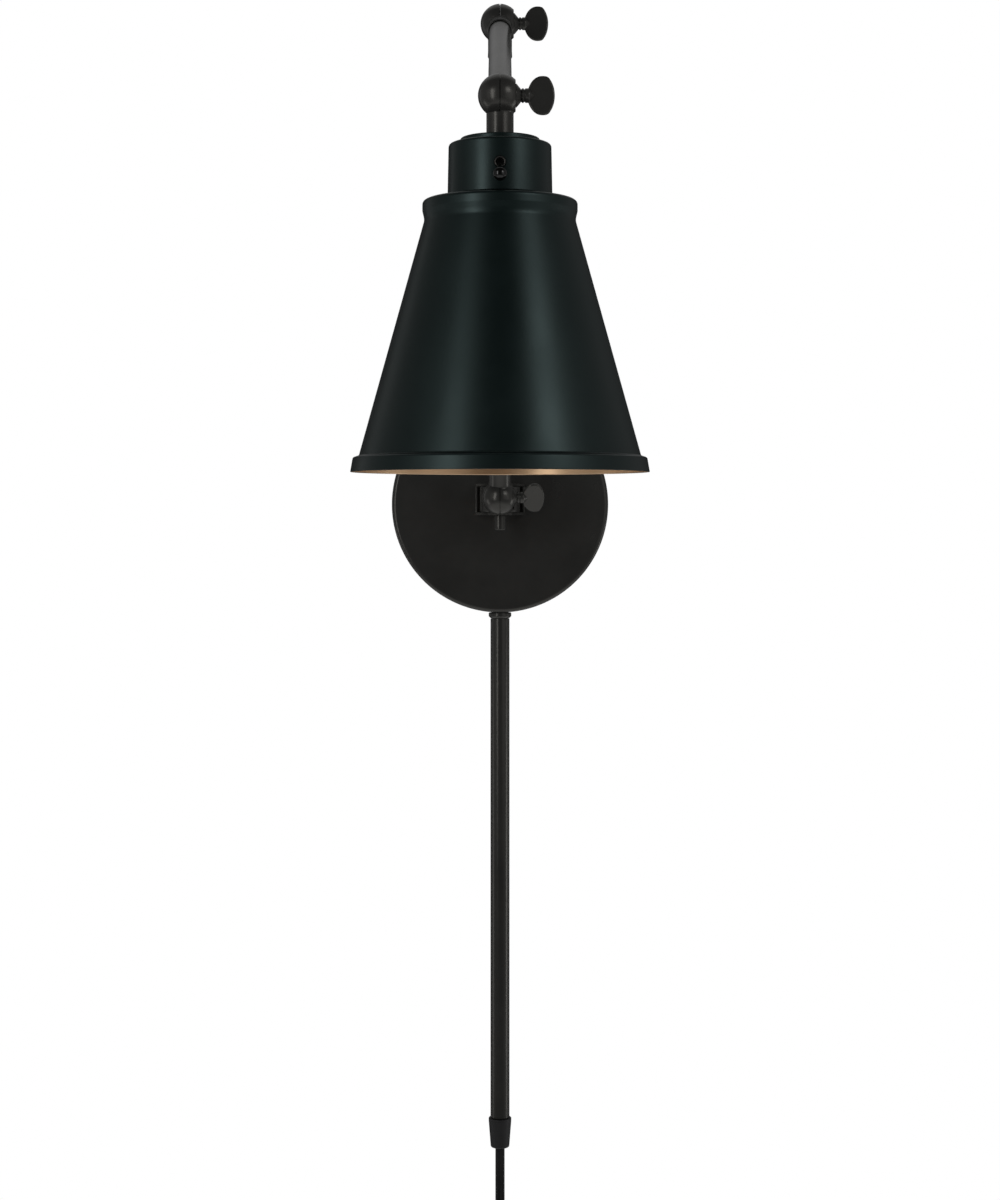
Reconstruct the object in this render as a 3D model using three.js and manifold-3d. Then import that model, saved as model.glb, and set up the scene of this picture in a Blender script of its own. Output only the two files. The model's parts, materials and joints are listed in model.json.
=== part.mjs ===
// Swing arm wall sconce with a cone shade, three clamped ball joints, a cord cover tube and a plug-in lead.
// Millimetres, +Z up, +X to the viewer's right, the viewer stands on the -Y side.
// The wall is the plane y = 0 and the origin is the centre of the wall strap's back face.
// Groups follow the joints: wall plate > swivel > lower arm > upper arm > lamp head.

import * as THREE from 'three';
import { mergeVertices } from 'three/addons/utils/BufferGeometryUtils.js';
import Module from 'manifold-3d';

const wasm = await Module();
wasm.setup();

// ---------------------------------------------------------------- driving dimensions

const GAP = 0.3;                  // between faces that touch on the real lamp

const PLATE_DIAMETER = 130.5;     // round backplate, a spun steel pan
const PLATE_DEPTH = 19;
const PLATE_WALL = 1.4;
const PLATE_EDGE = 2.6;           // rounding of the front edge

const STRAP_WIDTH = 24;           // crossbar screwed to the wall box
const STRAP_THICKNESS = 2;
const STRAP_TAB = 11;             // how far the bent ends reach into the pan
const SLOT_SPACING = 70;          // between the two slots for the wall box screws
const SLOT_WIDTH = 5;
const SLOT_LENGTH = 15;

const BRACKET_WIDTH = 29.6;       // U-shaped pivot bracket on the plate
const BRACKET_HEIGHT = 18.8;
const BRACKET_WALL = 1.6;
const BRACKET_CENTRE_Z = 2.9;
const BRACKET_LIP = 3.4;          // turned-in side edges of the bracket's back
const TONGUE_RADIUS = 8.4;        // rounded front end of the two flanges
const NIPPLE_DIAMETER = 9.6;      // hollow threaded nipple that holds the bracket
const NIPPLE_BORE = 6.4;

const BARREL_DIAMETER = 23.6;     // swivel barrel between the flanges
const BARREL_BACK_GAP = 3.6;      // room behind the barrel for the nipple's end
const PIN_DIAMETER = 5.6;
const PIN_HEAD_DIAMETER = 10;
const PIN_NUT_DIAMETER = 7.4;
const PIN_NUT_LENGTH = 8.6;
const BALL_REACH = 19.2;          // swivel pivot to first ball centre
const BALL_CENTRE_Z = 3.8;

const BALL_RADIUS = 10.45;        // every joint is a ball split in two
const SPOT_FACE = 7.4;            // flat under each thumb screw, from the parting plane
const STEM_DIAMETER = 12.9;
const FERRULE_END = 18.5;         // ball centre to the end of the ferrule
const TUBE_DIAMETER = 11.4;
const TUBE_WALL = 1.0;
const TUBE_INSERT = 6;            // how deep a tube sits in its ferrule

const LOWER_ARM_LENGTH = 272.5;   // ball centre to ball centre
const LOWER_ARM_TILT = 21.3;      // degrees forward of upright
const UPPER_ARM_LENGTH = 151;
const UPPER_ARM_DROP = 25.8;      // degrees below level

const SCREW_DIAMETER = 3.8;       // thumb screw thread
const SCREW_NECK = 6.8;
const SCREW_CONE = 12;            // the cone's wide end, on the ball's flat
const SCREW_TIP = 6.6;            // how far the thread passes the parting plane
const WING_START = 13.2;          // from the ball centre
const WING_END = 25.9;
const WING_HEIGHT = 18.4;
const WING_THICKNESS = 2.4;
const WING_TURNS = [30, 0, 0];    // degrees: back, top, front

const HEAD_STEM_LENGTH = 20.4;    // front ball centre to the disc
const DISC_DIAMETER = 37.6;
const DISC_THICKNESS = 2.4;
const CUP_TOP_DIAMETER = 48.6;    // socket cup
const CUP_BOTTOM_DIAMETER = 49.6;
const CUP_HEIGHT = 25;
const SHADE_GAP = 1.7;            // dark gap between cup and shade
const CUP_WALL = 1.2;
const CUP_EDGE = 1.6;
const SPIGOT_DIAMETER = 9.4;      // threaded end of the head stem
const SPIGOT_LENGTH = 11;

const HOLDER_NECK_DIAMETER = 17;
const HOLDER_DIAMETER = 32.6;     // lamp holder barrel
const HOLDER_BORE = 29;
const HOLDER_DROP = 20;            // disc to the top of the wide barrel
const HOLDER_LENGTH = 38;
const SHELL_WALL = 0.9;           // brass screw shell
const SHELL_LENGTH = 24;

const SHADE_TOP_DIAMETER = 73.4;
const SHADE_RIM_DIAMETER = 141.4;
const SHADE_HEIGHT = 128.2;
const SHADE_WALL = 1.0;
const SHADE_BAND = 5.0;           // upright band under the top
const SHADE_WAIST_DROP = 9.2;     // top to the start of the straight cone
const SHADE_WAIST_DIAMETER = 71.4;
const SHADE_CONE_END_DIAMETER = 133.2;
const SHADE_RIM_BAND = 6.8;
const RING_DIAMETER = 43;         // ring that clamps the shade to the lamp holder
const RING_HEIGHT = 6;

const SWITCH_DROP = 12.2;         // cup top to the switch axis
const SWITCH_BUSHING = 5.2;
const LEVER_LENGTH = 14.4;
const LEVER_BALL = 6.6;
const LEVER_ROOT = 2.4;
const LEVER_TILT = 38;            // degrees below level

const COVER_DIAMETER = 11.5;      // cord cover tube
const COVER_WALL = 0.9;
const COVER_LENGTH = 302;
const COVER_AXIS_Y = -10;
const COUPLING_DIAMETER = 13.7;
const COUPLING_HEIGHT = 3.6;      // visible collar between plate and tube
const BUSHING_TOP_DIAMETER = 13.7;
const BUSHING_BOTTOM_DIAMETER = 11.2;
const BUSHING_LENGTH = 17.9;
const BUSHING_SPIGOT = 8;         // part pushed up into the tube

const CORD_WIDTH = 5.6;           // flat two-core lead
const CORD_THICKNESS = 2.8;
const HANK_RUN = 100;             // straight length of the hank's runs
const HANK_FOLD = 16.8;           // radius of the innermost fold
const HANK_LAYERS = 2.2;          // layers of cord outside the innermost
const HANK_ROWS = 3;
const HANK_ROW_PITCH = 6.1;
const HANK_TOP_Z = -449;          // upper end of the straight runs
const HANK_PINCH = 13.2;          // how far the tie draws each side in
const TIE_HEIGHT = 11;
const TIE_WALL = 1.2;
const PLUG_WIDTH = 24;
const PLUG_THICKNESS = 15;
const PLUG_LENGTH = 30;
const PLUG_Z = -596;              // where the lead enters the plug
const PLUG_Y = -12;
const BLADE_SPACING = 12.7;
const BLADE_LENGTH = 16.5;
const BLADE_HEIGHT = 6.35;
const BLADE_THICKNESS = 1.5;

// ---------------------------------------------------------------- finishes

const finish = (color, roughness, metalness) => new THREE.MeshStandardMaterial({ color, roughness, metalness });
const blackSteel = () => finish(0x1b1b1a, 0.5, 0.3);
const shadeBlack = () => finish(0x101816, 0.55, 0.2);
const zinc = () => finish(0xb9bcbc, 0.4, 0.9);
const brass = () => finish(0xc9a14c, 0.3, 0.9);
const blackPlastic = () => finish(0x17171a, 0.6, 0);
const greenSteel = () => finish(0x2c7a45, 0.5, 0.5);
const wirePlastic = () => finish(0x141414, 0.55, 0);

// ---------------------------------------------------------------- solids

const rad = THREE.MathUtils.degToRad;
const V2 = (x, y) => new THREE.Vector2(x, y);

// A closed geometry as a manifold solid: shared vertices merged, flat triangles dropped, faces outward.
function solid(geometry) {
  const g = geometry.clone();
  g.deleteAttribute('normal');
  g.deleteAttribute('uv');
  const merged = mergeVertices(g, 1e-4);
  const p = merged.attributes.position.array;
  const index = merged.index.array;
  const tris = [];
  let volume = 0;
  for (let i = 0; i < index.length; i += 3) {
    const [a, b, c] = [index[i], index[i + 1], index[i + 2]];
    if (a === b || b === c || c === a) continue;
    tris.push(a, b, c);
    const [A, B, C] = [a, b, c].map((k) => new THREE.Vector3(p[3 * k], p[3 * k + 1], p[3 * k + 2]));
    volume += A.dot(B.cross(C));
  }
  if (volume < 0) {
    for (let i = 0; i < tris.length; i += 3) [tris[i], tris[i + 1]] = [tris[i + 1], tris[i]];
  }
  return new wasm.Manifold(new wasm.Mesh({
    numProp: 3,
    vertProperties: new Float32Array(p),
    triVerts: new Uint32Array(tris),
  }));
}

function geometryOf(manifold) {
  const m = manifold.getMesh();
  const g = new THREE.BufferGeometry();
  g.setAttribute('position', new THREE.BufferAttribute(new Float32Array(m.vertProperties), 3));
  g.setIndex(new THREE.BufferAttribute(new Uint32Array(m.triVerts), 1));
  g.computeVertexNormals();
  return g;
}

// Solid of revolution about +Z from [radius, z] points.
function turned(points, segments = 24) {
  const g = new THREE.LatheGeometry(points.map(([r, z]) => V2(Math.max(r, 0), z)), segments);
  return solid(g.rotateX(Math.PI / 2));
}

// The same about +X: [radius, x] points.
function turnedX(points, segments = 16) {
  const g = new THREE.LatheGeometry(points.map(([r, x]) => V2(Math.max(r, 0), x)), segments);
  return solid(g.rotateX(Math.PI / 2).rotateY(Math.PI / 2));
}

// The same about -Y, towards the viewer: [radius, distance] points.
function turnedFront(points, segments = 20) {
  const g = new THREE.LatheGeometry(points.map(([r, d]) => V2(Math.max(r, 0), d)), segments);
  return solid(g.rotateX(Math.PI));
}

const disc = (radius, z0, z1, segments) => turned([[0, z0], [radius, z0], [radius, z1], [0, z1]], segments);
const rod = (radius, x0, x1, segments) => turnedX([[0, x0], [radius, x0], [radius, x1], [0, x1]], segments);
const rodFront = (radius, d0, d1, segments) => turnedFront([[0, d0], [radius, d0], [radius, d1], [0, d1]], segments);

function box(x0, x1, y0, y1, z0, z1) {
  const g = new THREE.BoxGeometry(x1 - x0, y1 - y0, z1 - z0);
  return solid(g.translate((x0 + x1) / 2, (y0 + y1) / 2, (z0 + z1) / 2));
}

// A flat outline in X and Y, raised from z0 to z1.
function raised(shape, z0, z1, curveSegments = 12) {
  const g = new THREE.ExtrudeGeometry(shape, { depth: z1 - z0, bevelEnabled: false, curveSegments });
  return solid(g.translate(0, 0, z0));
}

function hexShape(acrossFlats, turn = 0) {
  const s = new THREE.Shape();
  const r = acrossFlats / Math.sqrt(3);
  for (let i = 0; i < 6; i++) {
    const a = turn + (i * Math.PI) / 3;
    const [x, y] = [r * Math.cos(a), r * Math.sin(a)];
    if (i) s.lineTo(x, y); else s.moveTo(x, y);
  }
  s.closePath();
  return s;
}

// The two ends of a stretch on the given side, lowest first.
const span = (side, near, far) => (side > 0 ? [near, far] : [-far, -near]);

// Quarter-circle points between two ends of a rounded corner, in [radius, z].
function corner(centreR, centreZ, radius, from, to, steps = 3) {
  return Array.from({ length: steps + 1 }, (_, i) => {
    const a = rad(from + ((to - from) * i) / steps);
    return [centreR + radius * Math.cos(a), centreZ + radius * Math.sin(a)];
  });
}

// ---------------------------------------------------------------- scene graph

const lamp = new THREE.Group();
function piece(group, name, manifold, material) {
  const mesh = new THREE.Mesh(geometryOf(manifold), material);
  mesh.name = name;
  group.add(mesh);
  return mesh;
}

// ---------------------------------------------------------------- wall plate

const plateRadius = PLATE_DIAMETER / 2;
const plateInner = plateRadius - PLATE_WALL;
const couplingBore = COVER_DIAMETER / 2 - COVER_WALL - GAP;
const couplingHole = couplingBore + GAP;

// The pan: a flat face with a rounded edge and a straight side, open towards the wall.
const panProfile = [
  [0, PLATE_DEPTH],
  ...corner(plateRadius - PLATE_EDGE, PLATE_DEPTH - PLATE_EDGE, PLATE_EDGE, 90, 0),
  [plateRadius, 0],
  [plateInner, 0],
  ...corner(plateInner - PLATE_EDGE + PLATE_WALL, PLATE_DEPTH - PLATE_EDGE, PLATE_EDGE - PLATE_WALL, 0, 90, 2),
  [0, PLATE_DEPTH - PLATE_WALL],
];
const sideScrewDepth = STRAP_THICKNESS + STRAP_TAB / 2;
let pan = turnedFront(panProfile, 48)
  .subtract(rodFront(NIPPLE_DIAMETER / 2 + GAP, PLATE_DEPTH - 3, PLATE_DEPTH + 1).translate(0, 0, BRACKET_CENTRE_Z))
  .subtract(disc(couplingHole, -plateRadius - 1, -plateRadius + 8, 20).translate(0, COVER_AXIS_Y, 0));
for (const side of [-1, 1]) {
  pan = pan.subtract(rod(2.2, ...span(side, plateInner - 3, plateRadius + 1), 12).translate(0, -sideScrewDepth, 0));
}
piece(lamp, 'backplate', pan, blackSteel());

// The strap: a flat bar whose two ends turn forward inside the pan and take the side screws.
const tabX = plateInner - 1.4;
let strap = box(-tabX, tabX, -STRAP_THICKNESS, 0, -STRAP_WIDTH / 2, STRAP_WIDTH / 2);
for (const side of [-1, 1]) {
  const [x0, x1] = span(side, tabX - STRAP_THICKNESS, tabX);
  strap = strap.add(box(x0, x1, -STRAP_THICKNESS - STRAP_TAB, -0.5, -STRAP_WIDTH / 2 + 3, STRAP_WIDTH / 2 - 3));
  const [s0, s1] = span(side, (SLOT_SPACING - SLOT_LENGTH) / 2, (SLOT_SPACING + SLOT_LENGTH) / 2);
  strap = strap
    .subtract(box(s0, s1, -5, 1, -SLOT_WIDTH / 2, SLOT_WIDTH / 2))
    .subtract(rod(1.9, x0 - 1, x1 + 1, 12).translate(0, -sideScrewDepth, 0));
}
const groundX = 15;
strap = strap.subtract(rodFront(2.0, -1, STRAP_THICKNESS + 1, 16).translate(groundX, 0, 7));
piece(lamp, 'wall_strap', strap, zinc());

// Headless side screws, flush with the pan's edge, and the green earth screw.
for (const [name, side] of [['side_screw_left', -1], ['side_screw_right', 1]]) {
  const screw = rod(1.6, ...span(side, tabX - STRAP_THICKNESS - 2, plateRadius - 0.2), 12)
    .subtract(box(...span(side, plateRadius - 1.8, plateRadius + 1), -0.8, 0.8, -0.8, 0.8));
  piece(lamp, name, screw.translate(0, -sideScrewDepth, 0), zinc());
}
const earth = turnedFront([[0, 0.4], [1.7, 0.4], [1.7, STRAP_THICKNESS + GAP], [3.6, STRAP_THICKNESS + GAP],
  [3.6, STRAP_THICKNESS + 2.2], [0, STRAP_THICKNESS + 2.2]], 20)
  .subtract(box(-4, 4, -STRAP_THICKNESS - 3, -STRAP_THICKNESS - 1.5, -0.5, 0.5));
piece(lamp, 'earth_screw', earth.translate(groundX, 0, 7), greenSteel());

// ---------------------------------------------------------------- pivot bracket

const bracketBack = PLATE_DEPTH + GAP;
const bracketFront = bracketBack + BRACKET_WALL;
const pivotY = -(bracketFront + BARREL_BACK_GAP + BARREL_DIAMETER / 2);
const bracketBottom = BRACKET_CENTRE_Z - BRACKET_HEIGHT / 2;
const bracketTop = BRACKET_CENTRE_Z + BRACKET_HEIGHT / 2;
const pinHole = PIN_DIAMETER / 2 + 0.15;

// One flange: full width at the plate, tapering to a round tongue about the pivot.
function flange(z0, z1) {
  const half = BRACKET_WIDTH / 2;
  const root = -bracketFront - BRACKET_LIP;
  const reach = Math.hypot(half, root - pivotY);
  const tangent = Math.atan2(root - pivotY, half) - Math.acos(TONGUE_RADIUS / reach);
  const s = new THREE.Shape();
  s.moveTo(-half, -bracketBack);
  s.lineTo(-half, root);
  s.absarc(0, pivotY, TONGUE_RADIUS, Math.PI - tangent, 2 * Math.PI + tangent, false);
  s.lineTo(half, root);
  s.lineTo(half, -bracketBack);
  s.closePath();
  const hole = new THREE.Path();
  hole.absarc(0, pivotY, pinHole, 0, 2 * Math.PI, true);
  s.holes.push(hole);
  return raised(s, z0, z1, 8);
}
const lipEdge = -bracketFront - BRACKET_LIP;
let bracket = box(-BRACKET_WIDTH / 2, BRACKET_WIDTH / 2, -bracketFront, -bracketBack, bracketBottom, bracketTop)
  .add(flange(bracketBottom, bracketBottom + BRACKET_WALL))
  .add(flange(bracketTop - BRACKET_WALL, bracketTop));
for (const side of [-1, 1]) {
  const [x0, x1] = span(side, BRACKET_WIDTH / 2 - BRACKET_WALL, BRACKET_WIDTH / 2);
  bracket = bracket.add(box(x0, x1, lipEdge, -bracketFront + 0.5, bracketBottom + 0.5, bracketTop - 0.5));
}
bracket = bracket.subtract(
  rodFront(NIPPLE_DIAMETER / 2 + GAP, bracketBack - 1, bracketFront + 1).translate(0, 0, BRACKET_CENTRE_Z));
piece(lamp, 'pivot_bracket', bracket, blackSteel());

// The nipple is flanged in front of the bracket's back; a washer and a hex nut pull it up inside the pan.
const nippleEnd = bracketFront + 1.5;
const nippleStart = PLATE_DEPTH - PLATE_WALL - 8;
const nipple = turnedFront([
  [NIPPLE_BORE / 2, nippleStart], [NIPPLE_DIAMETER / 2, nippleStart],
  [NIPPLE_DIAMETER / 2, bracketFront + GAP], [6.6, bracketFront + GAP], [6.6, nippleEnd],
  [NIPPLE_BORE / 2, nippleEnd], [NIPPLE_BORE / 2, nippleStart],
], 24);
piece(lamp, 'bracket_nipple', nipple.translate(0, 0, BRACKET_CENTRE_Z), zinc());
const washerEnd = PLATE_DEPTH - PLATE_WALL - GAP;
const washer = turnedFront([
  [NIPPLE_DIAMETER / 2 + GAP, washerEnd - 0.8], [9, washerEnd - 0.8], [9, washerEnd],
  [NIPPLE_DIAMETER / 2 + GAP, washerEnd], [NIPPLE_DIAMETER / 2 + GAP, washerEnd - 0.8],
], 24);
piece(lamp, 'nipple_washer', washer.translate(0, 0, BRACKET_CENTRE_Z), zinc());
const nutEnd = washerEnd - 0.8 - GAP;
const nippleNut = solid(new THREE.ExtrudeGeometry(hexShape(14), { depth: 3, bevelEnabled: false })
  .rotateX(Math.PI / 2).translate(0, -nutEnd + 3, 0))
  .subtract(rodFront(NIPPLE_DIAMETER / 2 + GAP, nutEnd - 4, nutEnd + 1));
piece(lamp, 'nipple_nut', nippleNut.translate(0, 0, BRACKET_CENTRE_Z), zinc());

// The pivot pin hangs from its head and ends in a plain round sleeve nut under the bracket.
const pin = turned([
  [0, bracketBottom - GAP - PIN_NUT_LENGTH + 2], [PIN_DIAMETER / 2, bracketBottom - GAP - PIN_NUT_LENGTH + 2],
  [PIN_DIAMETER / 2, bracketTop + GAP], [PIN_HEAD_DIAMETER / 2, bracketTop + GAP],
  ...corner(PIN_HEAD_DIAMETER / 2 - 1, bracketTop + GAP + 1.2, 1, 0, 90, 3), [0, bracketTop + GAP + 2.2],
], 24);
piece(lamp, 'pivot_pin', pin.translate(0, pivotY, 0), blackSteel());
const pinNutTop = bracketBottom - GAP;
const pinNut = turned([
  [0, pinNutTop - PIN_NUT_LENGTH], [PIN_NUT_DIAMETER / 2 - 0.5, pinNutTop - PIN_NUT_LENGTH],
  [PIN_NUT_DIAMETER / 2, pinNutTop - PIN_NUT_LENGTH + 0.5], [PIN_NUT_DIAMETER / 2, pinNutTop],
  [PIN_DIAMETER / 2 + 0.25, pinNutTop], [PIN_DIAMETER / 2 + 0.25, pinNutTop - PIN_NUT_LENGTH + 1.7],
  [0, pinNutTop - PIN_NUT_LENGTH + 1.7],
], 24);
piece(lamp, 'pivot_nut', pinNut.translate(0, pivotY, 0), blackSteel());

// ---------------------------------------------------------------- split ball joints

const parting = 0.15;             // half the gap between the two halves
const screwHole = SCREW_DIAMETER / 2 + 0.3;
const ballSphere = (radius) => solid(new THREE.SphereGeometry(radius, 20, 12).rotateZ(Math.PI / 2));

// What the other half of the joint and its clearance take away from the half on the given side.
function otherHalf(side) {
  const r = BALL_RADIUS + 0.35;
  const half = side < 0 ? box(-parting, r + 1, -r - 1, r + 1, -r - 1, r + 1)
    : box(-r - 1, parting, -r - 1, r + 1, -r - 1, r + 1);
  return ballSphere(r).intersect(half);
}

// A half ball whose body (stem, barrel, ferrule) is added first. Right halves carry the screw's spot face.
function halfBall(side, body) {
  let s = ballSphere(BALL_RADIUS).add(body).subtract(otherHalf(side));
  s = side > 0
    ? s.subtract(box(SPOT_FACE, 3 * BALL_RADIUS, -20, 20, -BALL_RADIUS, BALL_RADIUS))
        .subtract(rod(screwHole, -1, SPOT_FACE + 1, 16))
    : s.subtract(rod(screwHole, -SCREW_TIP - 0.5, 1, 16));
  return s;
}

// A ferrule along +Z: a straight stem that swells a little, chamfered, bored for the tube.
const tubeBore = TUBE_DIAMETER / 2 + GAP;
function ferrule() {
  const r = STEM_DIAMETER / 2;
  return turned([
    [0, 2], [r, 2], [r, FERRULE_END - 4], [r + 0.15, FERRULE_END - 0.9], [r - 0.5, FERRULE_END], [0, FERRULE_END],
  ], 20).subtract(disc(tubeBore, FERRULE_END - TUBE_INSERT - GAP, FERRULE_END + 1, 20));
}
const armTube = (length) => {
  const z0 = FERRULE_END - TUBE_INSERT;
  const z1 = length - z0;
  const [r, b] = [TUBE_DIAMETER / 2, TUBE_DIAMETER / 2 - TUBE_WALL];
  return turned([[b, z0], [r, z0], [r, z1], [b, z1], [b, z0]], 20);
};

// Half of the wing's outline: a round shoulder, a blunt tip and a shallow end, mirrored about the screw's axis.
function wingShape() {
  const h = WING_HEIGHT / 2;
  const n = SCREW_NECK / 2;
  const l = WING_END - WING_START;
  const s = new THREE.Shape();
  s.moveTo(0, -n);
  s.bezierCurveTo(0.1 * l, -0.74 * h, 0.28 * l, -h, 0.54 * l, -h);
  s.bezierCurveTo(0.66 * l, -h, 0.76 * l, -0.98 * h, 0.82 * l, -0.84 * h);
  s.bezierCurveTo(0.94 * l, -0.6 * h, l, -0.32 * h, l, 0);
  s.bezierCurveTo(l, 0.32 * h, 0.94 * l, 0.6 * h, 0.82 * l, 0.84 * h);
  s.bezierCurveTo(0.76 * l, 0.98 * h, 0.66 * l, h, 0.54 * l, h);
  s.bezierCurveTo(0.28 * l, h, 0.1 * l, 0.74 * h, 0, n);
  s.closePath();
  return s;
}

// Thumb screw along +X: thread, cone, two beads on the neck and a flat wing that stands upright.
function thumbScrew() {
  const n = SCREW_NECK / 2;
  const seat = SPOT_FACE + GAP;
  const turnedPart = turnedX([
    [0, -SCREW_TIP], [SCREW_DIAMETER / 2, -SCREW_TIP], [SCREW_DIAMETER / 2, seat], [SCREW_CONE / 2, seat],
    [n + 0.1, seat + 1.9], [n - 0.5, seat + 2.3], [n, seat + 2.7], [n, seat + 3.5], [n - 0.5, seat + 3.9], [n, seat + 4.3],
    [n, WING_START + 0.8], [1.2, WING_START + 2.6], [0, WING_START + 2.6],
  ], 16);
  const wing = solid(new THREE.ExtrudeGeometry(wingShape(), {
    depth: WING_THICKNESS, bevelEnabled: false, curveSegments: 4,
  }).rotateX(Math.PI / 2).translate(WING_START, WING_THICKNESS / 2, 0));
  return turnedPart.add(wing);
}

// ---------------------------------------------------------------- swivel

const swivel = new THREE.Group();
swivel.position.set(0, pivotY - BALL_REACH, BALL_CENTRE_Z);
lamp.add(swivel);

// The barrel turns on the pivot pin and carries the left half of the first ball.
const barrelBottom = bracketBottom + BRACKET_WALL + GAP - BALL_CENTRE_Z;
const barrelTop = bracketTop - BRACKET_WALL - GAP - BALL_CENTRE_Z;
const barrel = disc(BARREL_DIAMETER / 2, barrelBottom, barrelTop, 32).translate(0, BALL_REACH, 0)
  .add(box(-BARREL_DIAMETER / 2 + 3.5, BARREL_DIAMETER / 2 - 3.5, 0, BALL_REACH, barrelBottom + 1.2, barrelTop - 1.2));
const flangeRoom = (z0, z1) => disc(TONGUE_RADIUS + 0.5, z0, z1, 32).translate(0, BALL_REACH, 0);
const knuckle = halfBall(-1, barrel)
  .subtract(flangeRoom(barrelTop, BALL_RADIUS + 1))
  .subtract(flangeRoom(-BALL_RADIUS - 1, barrelBottom))
  .subtract(disc(pinHole, -20, 20, 24).translate(0, BALL_REACH, 0));
piece(swivel, 'swivel_knuckle', knuckle, blackSteel());
const backScrew = piece(swivel, 'thumb_screw_back', thumbScrew(), blackSteel());
backScrew.rotation.x = rad(WING_TURNS[0]);

// ---------------------------------------------------------------- lower arm

const lowerArm = new THREE.Group();
lowerArm.rotation.x = rad(LOWER_ARM_TILT);
swivel.add(lowerArm);
piece(lowerArm, 'lower_arm_foot', halfBall(1, ferrule()), blackSteel());
piece(lowerArm, 'lower_arm_tube', armTube(LOWER_ARM_LENGTH), blackSteel());

const elbow = new THREE.Group();
elbow.position.z = LOWER_ARM_LENGTH;
lowerArm.add(elbow);
const downward = new THREE.Matrix4().makeRotationX(Math.PI);
const flipped = (m) => solid(geometryOf(m).applyMatrix4(downward));
piece(elbow, 'lower_arm_elbow', halfBall(-1, flipped(ferrule())), blackSteel());
const topScrew = piece(elbow, 'thumb_screw_top', thumbScrew(), blackSteel());
topScrew.rotation.x = rad(WING_TURNS[1] - LOWER_ARM_TILT);

// ---------------------------------------------------------------- upper arm

const upperTurn = 90 + UPPER_ARM_DROP - LOWER_ARM_TILT;
const upperArm = new THREE.Group();
upperArm.rotation.x = rad(upperTurn);
elbow.add(upperArm);
piece(upperArm, 'upper_arm_elbow', halfBall(1, ferrule()), blackSteel());
piece(upperArm, 'upper_arm_tube', armTube(UPPER_ARM_LENGTH), blackSteel());

const wrist = new THREE.Group();
wrist.position.z = UPPER_ARM_LENGTH;
upperArm.add(wrist);
piece(wrist, 'upper_arm_wrist', halfBall(-1, flipped(ferrule())), blackSteel());
const frontScrew = piece(wrist, 'thumb_screw_front', thumbScrew(), blackSteel());
frontScrew.rotation.x = rad(WING_TURNS[2] - 90 - UPPER_ARM_DROP);

// ---------------------------------------------------------------- lamp head, hanging plumb from the front ball

const head = new THREE.Group();
head.rotation.x = -rad(90 + UPPER_ARM_DROP);
wrist.add(head);

const discTop = -HEAD_STEM_LENGTH;
const discBottom = discTop - DISC_THICKNESS;
const cupTop = discBottom - GAP;
const cupBottom = cupTop - CUP_HEIGHT;
const cupUnder = cupTop - CUP_WALL;
const spigotR = SPIGOT_DIAMETER / 2;
const spigotHole = spigotR + GAP;
const stemBody = turned([
  [0, -2], [STEM_DIAMETER / 2, -2], [STEM_DIAMETER / 2, discTop + GAP], [spigotR, discTop + GAP],
  [spigotR, discTop - SPIGOT_LENGTH], [0, discTop - SPIGOT_LENGTH],
], 20).subtract(disc(2.6, discTop - SPIGOT_LENGTH - 1, discTop + 6, 16));
piece(head, 'shade_stem', halfBall(1, stemBody), blackSteel());

const stemDisc = turned([
  [spigotHole, discBottom], [DISC_DIAMETER / 2 - 0.3, discBottom], [DISC_DIAMETER / 2, discBottom + 0.4],
  ...corner(DISC_DIAMETER / 2 - 0.8, discTop - 0.8, 0.8, 0, 90, 2), [spigotHole, discTop], [spigotHole, discBottom],
], 32);
piece(head, 'stem_disc', stemDisc, shadeBlack());

// Socket cup: closed top, slightly tapered side, a round hole for the switch bushing.
const [cupR0, cupR1] = [CUP_TOP_DIAMETER / 2, CUP_BOTTOM_DIAMETER / 2];
const switchZ = cupTop - SWITCH_DROP;
const cup = turned([
  [spigotHole, cupTop], ...corner(cupR0 - CUP_EDGE, cupTop - CUP_EDGE, CUP_EDGE, 90, 0, 3), [cupR1, cupBottom],
  [cupR1 - CUP_WALL, cupBottom], [cupR0 - CUP_WALL, cupUnder], [spigotHole, cupUnder], [spigotHole, cupTop],
], 32).subtract(rodFront(SWITCH_BUSHING / 2 + GAP, cupR0 - 6, cupR0 + 4, 20).translate(0, 0, switchZ));
piece(head, 'socket_cup', cup, shadeBlack());

const stemNut = raised(hexShape(14), cupUnder - GAP - 3.2, cupUnder - GAP)
  .subtract(disc(spigotHole, cupUnder - 8, cupUnder + 1, 24));
piece(head, 'stem_nut', stemNut, zinc());

// Lamp holder: a narrow neck under the stem, then the wide barrel that the bulb screws into.
const holderTop = discTop - SPIGOT_LENGTH - GAP;
const holderShoulder = discTop - HOLDER_DROP;
const holderBottom = holderShoulder - HOLDER_LENGTH;
const holderFloor = holderShoulder - 4;
const holder = turned([
  [2, holderTop], [HOLDER_NECK_DIAMETER / 2, holderTop], [HOLDER_NECK_DIAMETER / 2, holderShoulder],
  [HOLDER_DIAMETER / 2, holderShoulder], [HOLDER_DIAMETER / 2, holderBottom], [HOLDER_BORE / 2, holderBottom],
  [HOLDER_BORE / 2, holderFloor], [2, holderFloor], [2, holderTop],
], 32);
piece(head, 'lamp_holder', holder, blackPlastic());

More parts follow.
